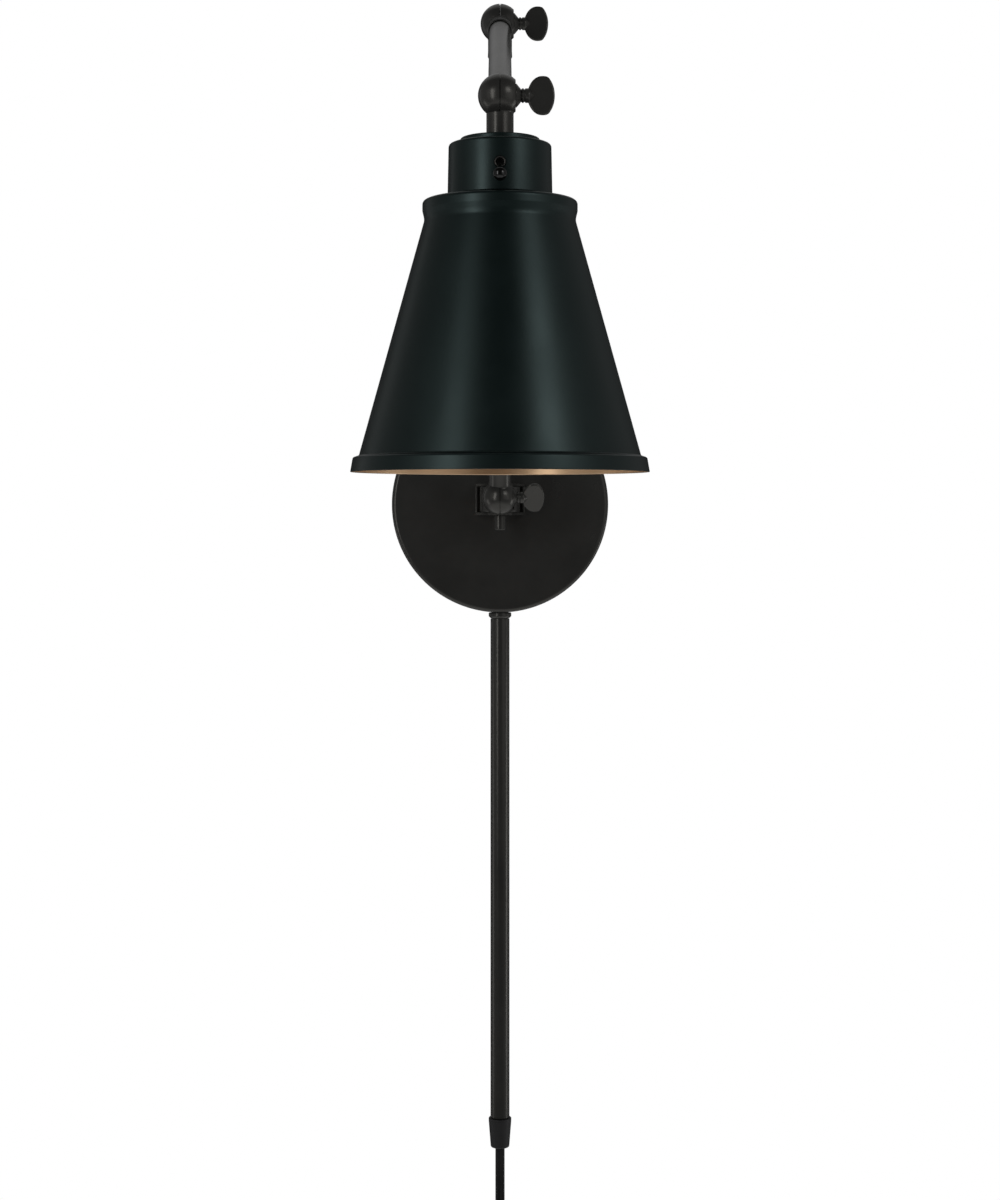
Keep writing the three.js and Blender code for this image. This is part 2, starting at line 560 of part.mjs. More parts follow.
const shellR = HOLDER_BORE / 2 - GAP;
const shellTop = holderFloor - GAP;
const shell = turned([
  [shellR, shellTop], [shellR, shellTop - SHELL_LENGTH], [shellR - SHELL_WALL, shellTop - SHELL_LENGTH],
  [shellR - SHELL_WALL, shellTop - 1], [6.5, shellTop - 1], [6.5, shellTop], [shellR, shellTop],
], 24);
piece(head, 'screw_shell', shell, brass());
const contact = turned([
  [0, shellTop - 3], [2.6, shellTop - 2.6], [3.4, shellTop - 1.4], [3.4, shellTop], [0, shellTop],
], 20);
piece(head, 'centre_contact', contact, brass());

// ---------------------------------------------------------------- shade

const shadeTop = cupBottom - SHADE_GAP;
const shadeBottom = shadeTop - SHADE_HEIGHT;
const shadeHole = HOLDER_DIAMETER / 2 + GAP;
const [topR, waistR, coneR, rimR] =
  [SHADE_TOP_DIAMETER, SHADE_WAIST_DIAMETER, SHADE_CONE_END_DIAMETER, SHADE_RIM_DIAMETER].map((d) => d / 2);
const t = SHADE_WALL;
const shade = turned([
  [shadeHole, shadeTop], ...corner(topR - 2, shadeTop - 2, 2, 90, 0, 3), [topR, shadeTop - SHADE_BAND],
  [waistR + 0.3, shadeTop - SHADE_BAND - 2], [waistR, shadeTop - SHADE_WAIST_DROP],
  [coneR, shadeBottom + SHADE_RIM_BAND + 1], [rimR - 1, shadeBottom + SHADE_RIM_BAND],
  [rimR - 0.4, shadeBottom + SHADE_RIM_BAND - 1], [rimR, shadeBottom + 0.8], [rimR - 0.8, shadeBottom],
  [rimR - 1 - t, shadeBottom + 0.3], [rimR - 1.6 - t, shadeBottom + SHADE_RIM_BAND - t],
  [coneR - t, shadeBottom + SHADE_RIM_BAND + 1 - t], [waistR - t, shadeTop - SHADE_WAIST_DROP - 0.4],
  [waistR - t, shadeTop - SHADE_BAND - 1], [topR - t, shadeTop - SHADE_BAND + 0.6], [topR - t, shadeTop - 2],
  [topR - 2 - t, shadeTop - t], [shadeHole, shadeTop - t], [shadeHole, shadeTop],
], 40);
piece(head, 'shade', shade, shadeBlack());

// Ring screwed up the lamp holder under the shade's top, with a knurl of shallow flats.
const ringTop = shadeTop - t - GAP;
const ring = turned([
  [shadeHole, ringTop], [RING_DIAMETER / 2, ringTop], [RING_DIAMETER / 2, ringTop - 2],
  [HOLDER_DIAMETER / 2 + 2.6, ringTop - 2.4], [HOLDER_DIAMETER / 2 + 2.6, ringTop - RING_HEIGHT],
  [shadeHole, ringTop - RING_HEIGHT], [shadeHole, ringTop],
], 32);
piece(head, 'shade_ring', ring, blackPlastic());

// ---------------------------------------------------------------- switch in the cup

const cupAt = (z) => cupR0 + ((cupR1 - cupR0) * (cupTop - z)) / CUP_HEIGHT;
const switchFace = cupAt(switchZ);
const boreR = 1.9;
const bodyBack = switchFace - CUP_WALL - 1.2;
const switchBody = box(-5, 5, -bodyBack, -HOLDER_NECK_DIAMETER / 2 - 1.5, switchZ - 4.2, switchZ + 4.2);
const leverPivot = switchFace - 0.2;
const bushing = turnedFront([
  [boreR, bodyBack + GAP], [SWITCH_BUSHING / 2, bodyBack + GAP], [SWITCH_BUSHING / 2, switchFace + 0.5],
  [boreR + 0.4, switchFace + 0.8], [boreR, switchFace + 0.2], [boreR, bodyBack + GAP],
], 20);
piece(head, 'switch_body', switchBody, blackPlastic());
piece(head, 'switch_bushing', bushing.translate(0, 0, switchZ), blackSteel());

const lever = new THREE.Group();
lever.position.set(0, -leverPivot, switchZ);
lever.rotation.x = rad(LEVER_TILT);
head.add(lever);
const leverBat = turnedFront([
  [0, -0.6], [LEVER_ROOT / 2 - 0.5, -0.6], [LEVER_ROOT / 2 - 0.3, 2], [LEVER_ROOT / 2 + 0.2, LEVER_LENGTH * 0.5],
  [LEVER_BALL / 2 - 0.4, LEVER_LENGTH - LEVER_BALL * 0.72],
  ...corner(0, LEVER_LENGTH - LEVER_BALL / 2, LEVER_BALL / 2, 0, 90, 4),
], 14);
piece(lever, 'switch_lever', leverBat, blackSteel());

// ---------------------------------------------------------------- cord cover tube

const collarTop = -plateRadius - GAP;
const coverTop = collarTop - COUPLING_HEIGHT;
const coverBottom = coverTop - COVER_LENGTH;
const cover = new THREE.Group();
cover.position.y = COVER_AXIS_Y;
lamp.add(cover);

// Coupling: a threaded neck through the pan's edge, a bead outside, a spigot down inside the tube.
const couplingInside = -plateInner + 6;
const spigotBottom = coverTop - 8;
const coupling = turned([
  [couplingBore - 1, couplingInside], [couplingBore, couplingInside], [couplingBore, collarTop],
  [COUPLING_DIAMETER / 2 - 0.3, collarTop], [COUPLING_DIAMETER / 2, collarTop - 1],
  [COUPLING_DIAMETER / 2 - 0.3, collarTop - 2], [COVER_DIAMETER / 2, coverTop + GAP],
  [couplingBore, coverTop + GAP], [couplingBore, spigotBottom], [couplingBore - 1, spigotBottom],
  [couplingBore - 1, couplingInside],
], 20);
piece(cover, 'tube_coupling', coupling, blackSteel());
const couplingNut = raised(hexShape(12.5), -plateInner + 2, -plateInner + 4.6)
  .subtract(disc(couplingHole, -plateInner - 2, -plateInner + 8, 20));
piece(cover, 'coupling_nut', couplingNut, zinc());

const coverInner = COVER_DIAMETER / 2 - COVER_WALL;
const coverTube = turned([
  [coverInner, coverTop], [COVER_DIAMETER / 2, coverTop], [COVER_DIAMETER / 2, coverBottom],
  [coverInner, coverBottom], [coverInner, coverTop],
], 20);
piece(cover, 'cord_cover_tube', coverTube, blackSteel());

const bushTop = coverBottom - GAP;
const bushBottom = bushTop - BUSHING_LENGTH;
const cordRoom = CORD_WIDTH / 2 + GAP;
const strainRelief = turned([
  [cordRoom, bushTop + BUSHING_SPIGOT], [coverInner - GAP, bushTop + BUSHING_SPIGOT],
  [coverInner - GAP, bushTop], [BUSHING_TOP_DIAMETER / 2 - 0.5, bushTop], [BUSHING_TOP_DIAMETER / 2, bushTop - 0.6],
  [BUSHING_TOP_DIAMETER / 2, bushTop - 1.6], [BUSHING_BOTTOM_DIAMETER / 2, bushBottom + 0.8],
  [BUSHING_BOTTOM_DIAMETER / 2 - 0.8, bushBottom], [cordRoom, bushBottom], [cordRoom, bushTop + BUSHING_SPIGOT],
], 20);
piece(cover, 'cord_bushing', strainRelief, blackPlastic());

// ---------------------------------------------------------------- cord, hank, tie and plug

// Flat cord section, eight sides, width along X.
function cordSection() {
  const [w, h] = [CORD_WIDTH / 2, CORD_THICKNESS / 2];
  const s = new THREE.Shape();
  const pts = [[w, -0.5 * h], [w, 0.5 * h], [w - 0.8, h], [-w + 0.8, h], [-w, 0.5 * h], [-w, -0.5 * h],
    [-w + 0.8, -h], [w - 0.8, -h]];
  pts.forEach(([x, y], i) => (i ? s.lineTo(x, y) : s.moveTo(x, y)));
  s.closePath();
  return s;
}
const straightCord = (z0, z1) => raised(cordSection(), z0, z1, 1);
piece(cover, 'cord_in_cover', straightCord(bushBottom + 1, couplingInside - 2), wirePlastic());

const layers = HANK_LAYERS * CORD_THICKNESS;
const hankOuter = HANK_FOLD + layers + CORD_THICKNESS / 2;
const hankY = COVER_AXIS_Y - HANK_FOLD;
const hankX0 = -CORD_WIDTH / 2 - 0.2;
const hankX1 = hankX0 + (HANK_ROWS - 1) * HANK_ROW_PITCH + CORD_WIDTH + 0.4;
const hankBottomZ = HANK_TOP_Z - HANK_RUN;
const hankMidZ = HANK_TOP_Z - HANK_RUN / 2;
const leadEnd = HANK_TOP_Z + Math.sqrt(hankOuter ** 2 - (HANK_FOLD - CORD_THICKNESS / 2) ** 2) + 0.5;
piece(cover, 'cord_lead', straightCord(leadEnd, bushBottom - GAP), wirePlastic());

// How far the tie draws a run in, as a smooth wave along its length.
const pinch = (z) => (HANK_PINCH * (1 + Math.cos((2 * Math.PI * (z - hankMidZ)) / HANK_RUN))) / 2;

// Side view outline of the hank: two round ends and two sides drawn in at the tie, as [distance to the wall, z].
function hankOutline() {
  const ends = 14;
  const sides = 12;
  const pts = [];
  for (let i = 0; i <= ends; i++) {
    const a = (Math.PI * i) / ends;
    pts.push([hankOuter * Math.cos(a), HANK_TOP_Z + hankOuter * Math.sin(a)]);
  }
  for (let i = 1; i < sides; i++) {
    const z = HANK_TOP_Z - (HANK_RUN * i) / sides;
    pts.push([-hankOuter + pinch(z), z]);
  }
  for (let i = 0; i <= ends; i++) {
    const a = Math.PI + (Math.PI * i) / ends;
    pts.push([hankOuter * Math.cos(a), hankBottomZ + hankOuter * Math.sin(a)]);
  }
  for (let i = 1; i < sides; i++) {
    const z = hankBottomZ + (HANK_RUN * i) / sides;
    pts.push([hankOuter - pinch(z), z]);
  }
  return pts;
}
const hankShape = new THREE.Shape(hankOutline().map(([y, z]) => V2(y, z)));
const hank = solid(new THREE.ExtrudeGeometry(hankShape, { depth: hankX1 - hankX0, bevelEnabled: false })
  .rotateX(Math.PI / 2).rotateZ(Math.PI / 2).translate(hankX0, hankY, 0));
piece(lamp, 'cord_hank', hank, wirePlastic());

// The tie: a flat band round the waist of the hank.
const waist = hankOuter - pinch(hankMidZ + TIE_HEIGHT / 2) + GAP;
const [tieZ0, tieZ1] = [hankMidZ - TIE_HEIGHT / 2, hankMidZ + TIE_HEIGHT / 2];
const tie = box(hankX0 - GAP - TIE_WALL, hankX1 + GAP + TIE_WALL, hankY - waist - TIE_WALL, hankY + waist + TIE_WALL,
  tieZ0, tieZ1)
  .subtract(box(hankX0 - GAP, hankX1 + GAP, hankY - waist, hankY + waist, tieZ0 - 1, tieZ1 + 1));
piece(lamp, 'hank_tie', tie, blackPlastic());

// The tail leaves the outermost run at the back of the hank and drops into the plug.
const tailX = HANK_ROW_PITCH;
const tailY = hankY + HANK_FOLD + layers;
const tailTop = hankBottomZ - Math.sqrt(hankOuter ** 2 - (HANK_FOLD + layers - CORD_THICKNESS) ** 2) - 0.6;
const tailPath = new THREE.CatmullRomCurve3([
  [tailX, tailY, tailTop], [tailX, tailY - 1.0, tailTop - 8], [tailX, (tailY + PLUG_Y) / 2 - 1.5, -580],
  [tailX, PLUG_Y, -589], [tailX, PLUG_Y, PLUG_Z + GAP],
].map((p) => new THREE.Vector3(...p)));
const tailSection = new THREE.Shape();
for (let i = 0; i < 8; i++) {
  const a = (2 * Math.PI * (i + 0.5)) / 8;
  const [x, y] = [(CORD_WIDTH / 2) * Math.cos(a), (CORD_THICKNESS / 2) * Math.sin(a)];
  if (i) tailSection.lineTo(x, y); else tailSection.moveTo(x, y);
}
tailSection.closePath();
const tail = solid(new THREE.ExtrudeGeometry(tailSection, { steps: 10, extrudePath: tailPath, bevelEnabled: false }));
piece(lamp, 'cord_tail', tail, wirePlastic());

// Plug: a moulded body that widens to a grip and narrows to a flat face with two blades.
const plug = new THREE.Group();
plug.position.set(tailX, PLUG_Y, PLUG_Z);
lamp.add(plug);
const [pw, pt] = [PLUG_WIDTH / 2, PLUG_THICKNESS / 2];
const side = new THREE.Shape();
side.moveTo(-5, 0);
side.lineTo(5, 0);
side.bezierCurveTo(7, -5, 0.8 * pw, -7, pw, -10);
side.lineTo(pw, -PLUG_LENGTH);
side.lineTo(-pw, -PLUG_LENGTH);
side.lineTo(-pw, -10);
side.bezierCurveTo(-0.8 * pw, -7, -7, -5, -5, 0);
const plugBody = solid(new THREE.ExtrudeGeometry(side, { depth: PLUG_THICKNESS, bevelEnabled: false, curveSegments: 6 })
  .rotateX(Math.PI / 2).translate(0, pt, 0));
let plugSolid = plugBody;
for (const s of [-1, 1]) {
  const x = (s * BLADE_SPACING) / 2;
  plugSolid = plugSolid.subtract(box(x - BLADE_THICKNESS / 2 - GAP, x + BLADE_THICKNESS / 2 + GAP,
    -BLADE_HEIGHT / 2 - GAP, BLADE_HEIGHT / 2 + GAP, -PLUG_LENGTH - 1, -PLUG_LENGTH + 8));
}
piece(plug, 'plug_body', plugSolid, blackPlastic());
for (const [name, s] of [['plug_blade_left', -1], ['plug_blade_right', 1]]) {
  const x = (s * BLADE_SPACING) / 2;
  const blade = box(x - BLADE_THICKNESS / 2, x + BLADE_THICKNESS / 2, -BLADE_HEIGHT / 2, BLADE_HEIGHT / 2,
    -PLUG_LENGTH - BLADE_LENGTH, -PLUG_LENGTH + 7.5)
    .subtract(rod(1.5, x - 3, x + 3, 12).translate(0, 0, -PLUG_LENGTH - BLADE_LENGTH + 4));
  piece(plug, name, blade, brass());
}

export default lamp;
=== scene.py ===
"""A plug-in swing arm wall lamp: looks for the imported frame, section by section as the lamp is put together.
Lengths are millimetres, and made() turns them into metres as it writes a mesh. +Z is up, the wall is y = 0,
and the viewer stands on the -Y side."""

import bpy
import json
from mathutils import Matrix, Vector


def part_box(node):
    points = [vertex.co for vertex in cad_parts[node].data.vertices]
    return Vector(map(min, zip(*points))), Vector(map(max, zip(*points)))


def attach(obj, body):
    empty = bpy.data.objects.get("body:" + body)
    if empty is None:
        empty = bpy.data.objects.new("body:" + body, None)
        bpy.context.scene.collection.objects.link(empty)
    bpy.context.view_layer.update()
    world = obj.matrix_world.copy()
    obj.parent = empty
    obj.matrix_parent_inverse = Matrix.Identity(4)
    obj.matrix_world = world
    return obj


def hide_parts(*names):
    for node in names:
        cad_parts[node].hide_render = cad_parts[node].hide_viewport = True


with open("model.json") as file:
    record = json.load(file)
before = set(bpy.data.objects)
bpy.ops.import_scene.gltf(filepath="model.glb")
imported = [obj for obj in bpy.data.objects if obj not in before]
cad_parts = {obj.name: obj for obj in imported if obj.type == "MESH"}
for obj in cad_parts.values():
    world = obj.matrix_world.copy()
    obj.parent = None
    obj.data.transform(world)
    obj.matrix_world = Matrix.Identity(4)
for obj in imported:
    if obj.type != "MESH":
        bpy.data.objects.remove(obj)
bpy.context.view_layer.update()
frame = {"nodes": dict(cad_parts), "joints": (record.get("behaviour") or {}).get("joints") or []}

import json
import math

import bmesh
import bpy
import numpy as np

mm = 0.001

# ---------------------------------------------------------------- studio
# A level camera 1.28 m in front of the wall, a small key light from the upper right, tall softboxes left and
# right, and a white surround that the black paint sees as a dim grey.

camera_data = bpy.data.cameras.new("camera")
camera_data.lens = 63.0
camera_data.shift_y = -0.0717
camera = bpy.data.objects.new("camera", camera_data)
camera.location = (0, -1.2832, -0.0058)
camera.rotation_euler = (math.radians(90), 0, 0)
bpy.context.scene.collection.objects.link(camera)
bpy.context.scene.camera = camera
bpy.context.scene.view_settings.view_transform = "Standard"


def softbox(name, place, target, width, height, power):
    """A rectangular area light that looks from its place at the target, and that the camera doesn't see."""
    data = bpy.data.lights.new(name, "AREA")
    data.shape = "RECTANGLE"
    data.size, data.size_y = width, height
    data.energy = power
    lamp = bpy.data.objects.new(name, data)
    lamp.location = place
    lamp.rotation_mode = "QUATERNION"
    lamp.rotation_quaternion = (Vector(target) - Vector(place)).to_track_quat("-Z", "Y")
    lamp.visible_camera = False
    bpy.context.scene.collection.objects.link(lamp)


middle = (0, -0.15, 0)
softbox("key", (0.738, -1.029, 0.610), middle, 0.40, 0.40, 1.35)
softbox("right_wide", (0.910, -1.060, 0.181), middle, 0.90, 1.0, 1.0)
softbox("left_key", (-0.676, -1.115, 0.549), middle, 0.50, 0.50, 0.3)
softbox("left_strip", (-0.757, -1.192, 0.181), middle, 0.30, 1.0, 2.8)
softbox("left_side", (-1.115, -0.794, 0.181), middle, 0.25, 1.0, 0.25)
softbox("left_back", (-1.055, 0.588, 0.181), middle, 0.25, 1.0, 0.2)
softbox("low_right", (1.174, -0.047, -0.45), (0, -0.15, -0.25), 0.30, 0.5, 0.9)
softbox("low_left", (-1.174, -0.047, -0.45), (0, -0.15, -0.25), 0.30, 0.5, 0.5)

# What the paint sees of the room, by direction: grey growing towards the floor, each side, and the ceiling
# behind the lamp. Each row is axis mix, where it starts, where it is full, and how bright it is.
ROOM = (("floor", (0, -0.1, -1), 0.45, 0.80, 0.60), ("right", (1, 0.1, 0), 0.45, 0.95, 0.18),
        ("left", (-1, 0.1, 0), 0.55, 0.95, 0.14), ("ceiling", (0, 0.62, 0.78), 0.72, 0.95, 0.40))
room_grey = 0.030
world = bpy.data.worlds.new("studio")
bpy.context.scene.world = world
world.use_nodes = True
air = world.node_tree
air.nodes.clear()
direction = air.nodes.new("ShaderNodeTexCoord")
total = None
for label, axis, start, full, grey in ROOM:
    towards = air.nodes.new("ShaderNodeVectorMath")
    towards.operation = "DOT_PRODUCT"
    towards.inputs[1].default_value = axis
    air.links.new(direction.outputs["Generated"], towards.inputs[0])
    part = air.nodes.new("ShaderNodeMapRange")
    part.label = label
    part.interpolation_type = "SMOOTHSTEP"
    part.inputs["From Min"].default_value = start
    part.inputs["From Max"].default_value = full
    part.inputs["To Max"].default_value = grey
    air.links.new(towards.outputs["Value"], part.inputs["Value"])
    if total is None:
        total = part.outputs["Result"]
    else:
        add = air.nodes.new("ShaderNodeMath")
        air.links.new(total, add.inputs[0])
        air.links.new(part.outputs["Result"], add.inputs[1])
        total = add.outputs[0]
base = air.nodes.new("ShaderNodeMath")
base.inputs[1].default_value = room_grey
air.links.new(total, base.inputs[0])
room = air.nodes.new("ShaderNodeBackground")
air.links.new(base.outputs[0], room.inputs["Color"])
seen = air.nodes.new("ShaderNodeBackground")
seen.inputs["Color"].default_value = (1, 1, 1, 1)
ray = air.nodes.new("ShaderNodeLightPath")
choice = air.nodes.new("ShaderNodeMixShader")
out = air.nodes.new("ShaderNodeOutputWorld")
air.links.new(ray.outputs["Is Camera Ray"], choice.inputs["Fac"])
air.links.new(room.outputs[0], choice.inputs[1])
air.links.new(seen.outputs[0], choice.inputs[2])
air.links.new(choice.outputs[0], out.inputs["Surface"])

# ---------------------------------------------------------------- backplate
# A round steel pan with a rolled edge, spun from sheet and powder coated satin black. It is open at the
# back, and a screw in each side of its rim holds it on the strap.

same_point = 2e-6


def box_of(node):
    """The lowest and highest corner of a CAD node, in millimetres."""
    low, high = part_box(node)
    return np.array(low) / mm, np.array(high) / mm


def eased(points, radii, closed=False, steps=6):
    """A broken line with round corners. A corner goes back along both its sides by radius / tan(half its
    angle), and an arc about a point on its bisector joins the two ends. A point just before and just after
    each arc keeps the flats flat."""
    p = np.asarray(points, float)
    r = np.array(np.broadcast_to(radii, len(p)), float)
    if not closed:
        r[[0, -1]] = 0
    before, after = np.roll(p, 1, 0) - p, np.roll(p, -1, 0) - p
    long_before = np.maximum(np.linalg.norm(before, axis=1), 1e-9)
    long_after = np.maximum(np.linalg.norm(after, axis=1), 1e-9)
    a, b = before / long_before[:, None], after / long_after[:, None]
    half = np.clip(np.arccos(np.clip((a * b).sum(1), -1, 1)) / 2, 1e-3, math.pi / 2 - 1e-6)
    back = np.minimum(r / np.tan(half), 0.49 * np.minimum(long_before, long_after))
    r = back * np.tan(half)
    middle = a + b
    middle /= np.maximum(np.linalg.norm(middle, axis=1), 1e-9)[:, None]
    centre = p + middle * (r / np.sin(half))[:, None]
    start, end = p + a * back[:, None], p + b * back[:, None]
    sweep = np.maximum(math.pi - 2 * half, 1e-6)[:, None, None]
    t = np.linspace(0, 1, steps + 1)[None, :, None]
    arc = (np.sin((1 - t) * sweep) * (start - centre)[:, None]
           + np.sin(t * sweep) * (end - centre)[:, None]) / np.sin(sweep) + centre[:, None]
    lead = np.minimum(0.15, 0.25 * (long_before - back - np.roll(back, 1))) * (r > 0)
    tail = np.minimum(0.15, 0.25 * (long_after - back - np.roll(back, -1))) * (r > 0)
    first = (start + a * lead[:, None])[:, None]
    last = (end + b * tail[:, None])[:, None]
    line = np.concatenate([first, arc, last], 1).reshape(-1, 2)
    return np.concatenate([line, line[:1]]) if closed else line


def turned(profile, axis="up", at=(0, 0, 0), around=96):
    """A surface of revolution from [distance from the axis, distance along it] points, the axis upright,
    to the right or towards the viewer: two coordinates are r cos a and r sin a, and the third is the
    distance along."""
    r, h = np.asarray(profile, float).T
    a = np.linspace(0, 2 * math.pi, around, endpoint=False)
    c, s = np.outer(r, np.cos(a)), np.outer(r, np.sin(a))
    h = np.repeat(h[:, None], around, 1)
    ways = {"up": (c, s, h), "right": (h, c, s), "front": (s, -h, c)}
    return np.stack(ways[axis], -1) + np.asarray(at, float)


def merged(name, points, faces, marks=None):
    """A mesh object from points in millimetres and faces, each face marked with the number of its finish.
    Points that meet are merged, and the faces are turned outwards."""
    mesh = bpy.data.meshes.new(name)
    mesh.from_pydata(points * mm, [], faces)
    if marks is not None:
        mesh.polygons.foreach_set("material_index", marks)
    shell = bmesh.new()
    shell.from_mesh(mesh)
    bmesh.ops.remove_doubles(shell, verts=shell.verts, dist=same_point)
    bmesh.ops.recalc_face_normals(shell, faces=shell.faces)
    shell.to_mesh(mesh)
    shell.free()
    piece = bpy.data.objects.new(name, mesh)
    bpy.context.scene.collection.objects.link(piece)
    return piece


def made(name, *skins):
    """A mesh object from grids of points. Four neighbours of a grid make a face, its columns wrap round,
    and its number is its faces' finish."""
    faces, marks, start = [], [], 0
    for mark, s in enumerate(skins):
        here = start + np.arange(s.shape[0] * s.shape[1]).reshape(s.shape[:2])
        right = np.roll(here, -1, 1)
        faces.append(np.stack([here[:-1], right[:-1], right[1:], here[1:]], -1).reshape(-1, 4))
        marks.append(np.full(len(faces[-1]), mark, np.int32))
        start += here.size
    points = np.concatenate([s.reshape(-1, 3) for s in skins])
    return merged(name, points, np.concatenate(faces).tolist(), np.concatenate(marks))


def worked(piece, tool, how="DIFFERENCE"):
    """The piece with another solid cut from it, or joined to it. The tool is used up."""
    step = piece.modifiers.new("work", "BOOLEAN")
    step.operation = how
    step.object = tool
    step.solver = "EXACT"
    view = bpy.context.evaluated_depsgraph_get()
    mesh = bpy.data.meshes.new_from_object(piece.evaluated_get(view))
    piece.modifiers.remove(step)
    mesh.name = piece.name
    piece.data = mesh
    bpy.data.objects.remove(tool)
    return piece


def drilled(piece, radius, low, high, axis, at):
    """The piece with a round hole of that radius cut between two distances along an axis."""
    drill = turned([[0, low], [radius, low], [radius, high], [0, high]], axis, at, 48)
    return worked(piece, made("drill", drill))


def coated(piece, *finishes, crease=32):
    """The piece in its finishes, smooth except along edges that turn by more than crease degrees."""
    slots = piece.data.materials
    while len(slots) < len(finishes):
        slots.append(None)
    for number, f in enumerate(finishes):
        slots[number] = f
    piece.data.shade_smooth()
    piece.data.set_sharp_from_angle(angle=math.radians(crease))
    return piece


def surface_group():
    """Node group for a sprayed or moulded surface. Height is a slow peel and a fine grain added by the
    peel's share, and Tone is a cloudy value from 0 to 1, both from noise on the piece's own coordinates."""
    group = bpy.data.node_groups.new("sprayed_surface", "ShaderNodeTree")
    face = group.interface
    for name, value in (("Peel Scale", 600.0), ("Grain Scale", 3000.0), ("Peel Share", 0.5)):
        face.new_socket(name, in_out="INPUT", socket_type="NodeSocketFloat").default_value = value
    for name in ("Height", "Tone"):
        face.new_socket(name, in_out="OUTPUT", socket_type="NodeSocketFloat")
    n, join = group.nodes, group.links.new
    given, result = n.new("NodeGroupInput"), n.new("NodeGroupOutput")
    place = n.new("ShaderNodeTexCoord")
    peel, grain, cloud = (n.new("ShaderNodeTexNoise") for _ in range(3))
    grain.inputs["Detail"].default_value = 3
    cloud.inputs["Scale"].default_value = 42
    cloud.inputs["Detail"].default_value = 4
    cloud.inputs["Roughness"].default_value = 0.6
    for noise in (peel, grain, cloud):
        join(place.outputs["Object"], noise.inputs["Vector"])
    join(given.outputs["Peel Scale"], peel.inputs["Scale"])
    join(given.outputs["Grain Scale"], grain.inputs["Scale"])
    blend = n.new("ShaderNodeMix")
    join(given.outputs["Peel Share"], blend.inputs["Factor"])
    join(grain.outputs["Fac"], blend.inputs["A"])
    join(peel.outputs["Fac"], blend.inputs["B"])
    join(blend.outputs["Result"], result.inputs["Height"])
    spread = n.new("ShaderNodeMapRange")
    spread.inputs["From Min"].default_value = 0.3
    spread.inputs["From Max"].default_value = 0.7
    join(cloud.outputs["Fac"], spread.inputs["Value"])
    join(spread.outputs["Result"], result.inputs["Tone"])
    return group


sprayed_surface = surface_group()


def finish(name, dark, light, rough, metallic=0.0, tint=(1, 1, 1), scales=(600, 3000, 0.5), relief=0.3,
           depth=0.02):
    """A finish whose colour goes from dark to light and whose roughness goes over its range with the
    surface group's tone, and whose relief is that group's height, at most depth millimetres deep."""
    material = bpy.data.materials.new(name)
    material.use_nodes = True
    n, join = material.node_tree.nodes, material.node_tree.links.new
    shader = n["Principled BSDF"]
    shader.inputs["Metallic"].default_value = metallic
    shader.inputs["Specular Tint"].default_value = (*tint, 1)
    skin = n.new("ShaderNodeGroup")
    skin.node_tree = sprayed_surface
    for socket, value in zip(("Peel Scale", "Grain Scale", "Peel Share"), scales):
        skin.inputs[socket].default_value = value
    colour = n.new("ShaderNodeMix")
    colour.data_type = "RGBA"
    colour.inputs[6].default_value = (*dark, 1)
    colour.inputs[7].default_value = (*light, 1)
    join(skin.outputs["Tone"], colour.inputs["Factor"])
    join(colour.outputs[2], shader.inputs["Base Color"])
    gloss = n.new("ShaderNodeMapRange")
    gloss.inputs["To Min"].default_value, gloss.inputs["To Max"].default_value = rough
    join(skin.outputs["Tone"], gloss.inputs["Value"])
    join(gloss.outputs["Result"], shader.inputs["Roughness"])
    bump = n.new("ShaderNodeBump")
    bump.inputs["Strength"].default_value = relief
    bump.inputs["Distance"].default_value = depth * mm
    join(skin.outputs["Height"], bump.inputs["Height"])
    join(bump.outputs["Normal"], shader.inputs["Normal"])
    return material


black_metal = finish("satin_black_powder_coat", (0.0330, 0.0327, 0.0310), (0.0400, 0.0396, 0.0376),
                     (0.22, 0.28), tint=(1.0, 0.97, 0.90), scales=(700, 3800, 0.55), relief=0.35)

plate_low, plate_high = box_of("backplate")
plate_radius = plate_high[0]
plate_depth = -plate_low[1]
pan_wall = 1.4
rolled_edge = 2.6
nipple_hole = 5.1
coupling_hole = 4.9
side_screw_hole = 2.2
nipple_z = sum(box_of("bracket_nipple")[i][2] for i in (0, 1)) / 2
cover_axis_y = sum(box_of("cord_cover_tube")[i][1] for i in (0, 1)) / 2

pan = made("backplate_pan", turned(eased(
    [[0, plate_depth], [plate_radius, plate_depth], [plate_radius, 0], [plate_radius - pan_wall, 0],
     [plate_radius - pan_wall, plate_depth - pan_wall], [0, plate_depth - pan_wall]],
    [0, rolled_edge, 0.3, 0.3, rolled_edge - pan_wall, 0]), "front", around=192))
pan = drilled(pan, nipple_hole, plate_depth - 4, plate_depth + 1, "front", (0, 0, nipple_z))
pan = drilled(pan, coupling_hole, -plate_radius - 1, -plate_radius + 8, "up", (0, cover_axis_y, 0))
side_screw_y = sum(box_of("side_screw_right")[i][1] for i in (0, 1)) / 2
for from_x in (-plate_radius - 1, plate_radius - 4):
    pan = drilled(pan, side_screw_hole, from_x, from_x + 5, "right", (0, side_screw_y, 0))
coated(pan, black_metal)
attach(pan, "wall_plate")
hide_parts("backplate")

# ---------------------------------------------------------------- strap and side screws
# A zinc plated crossbar goes on the wall box first. Its two ends turn forward inside the pan and take the
# headless side screws, and a green screw earths it.


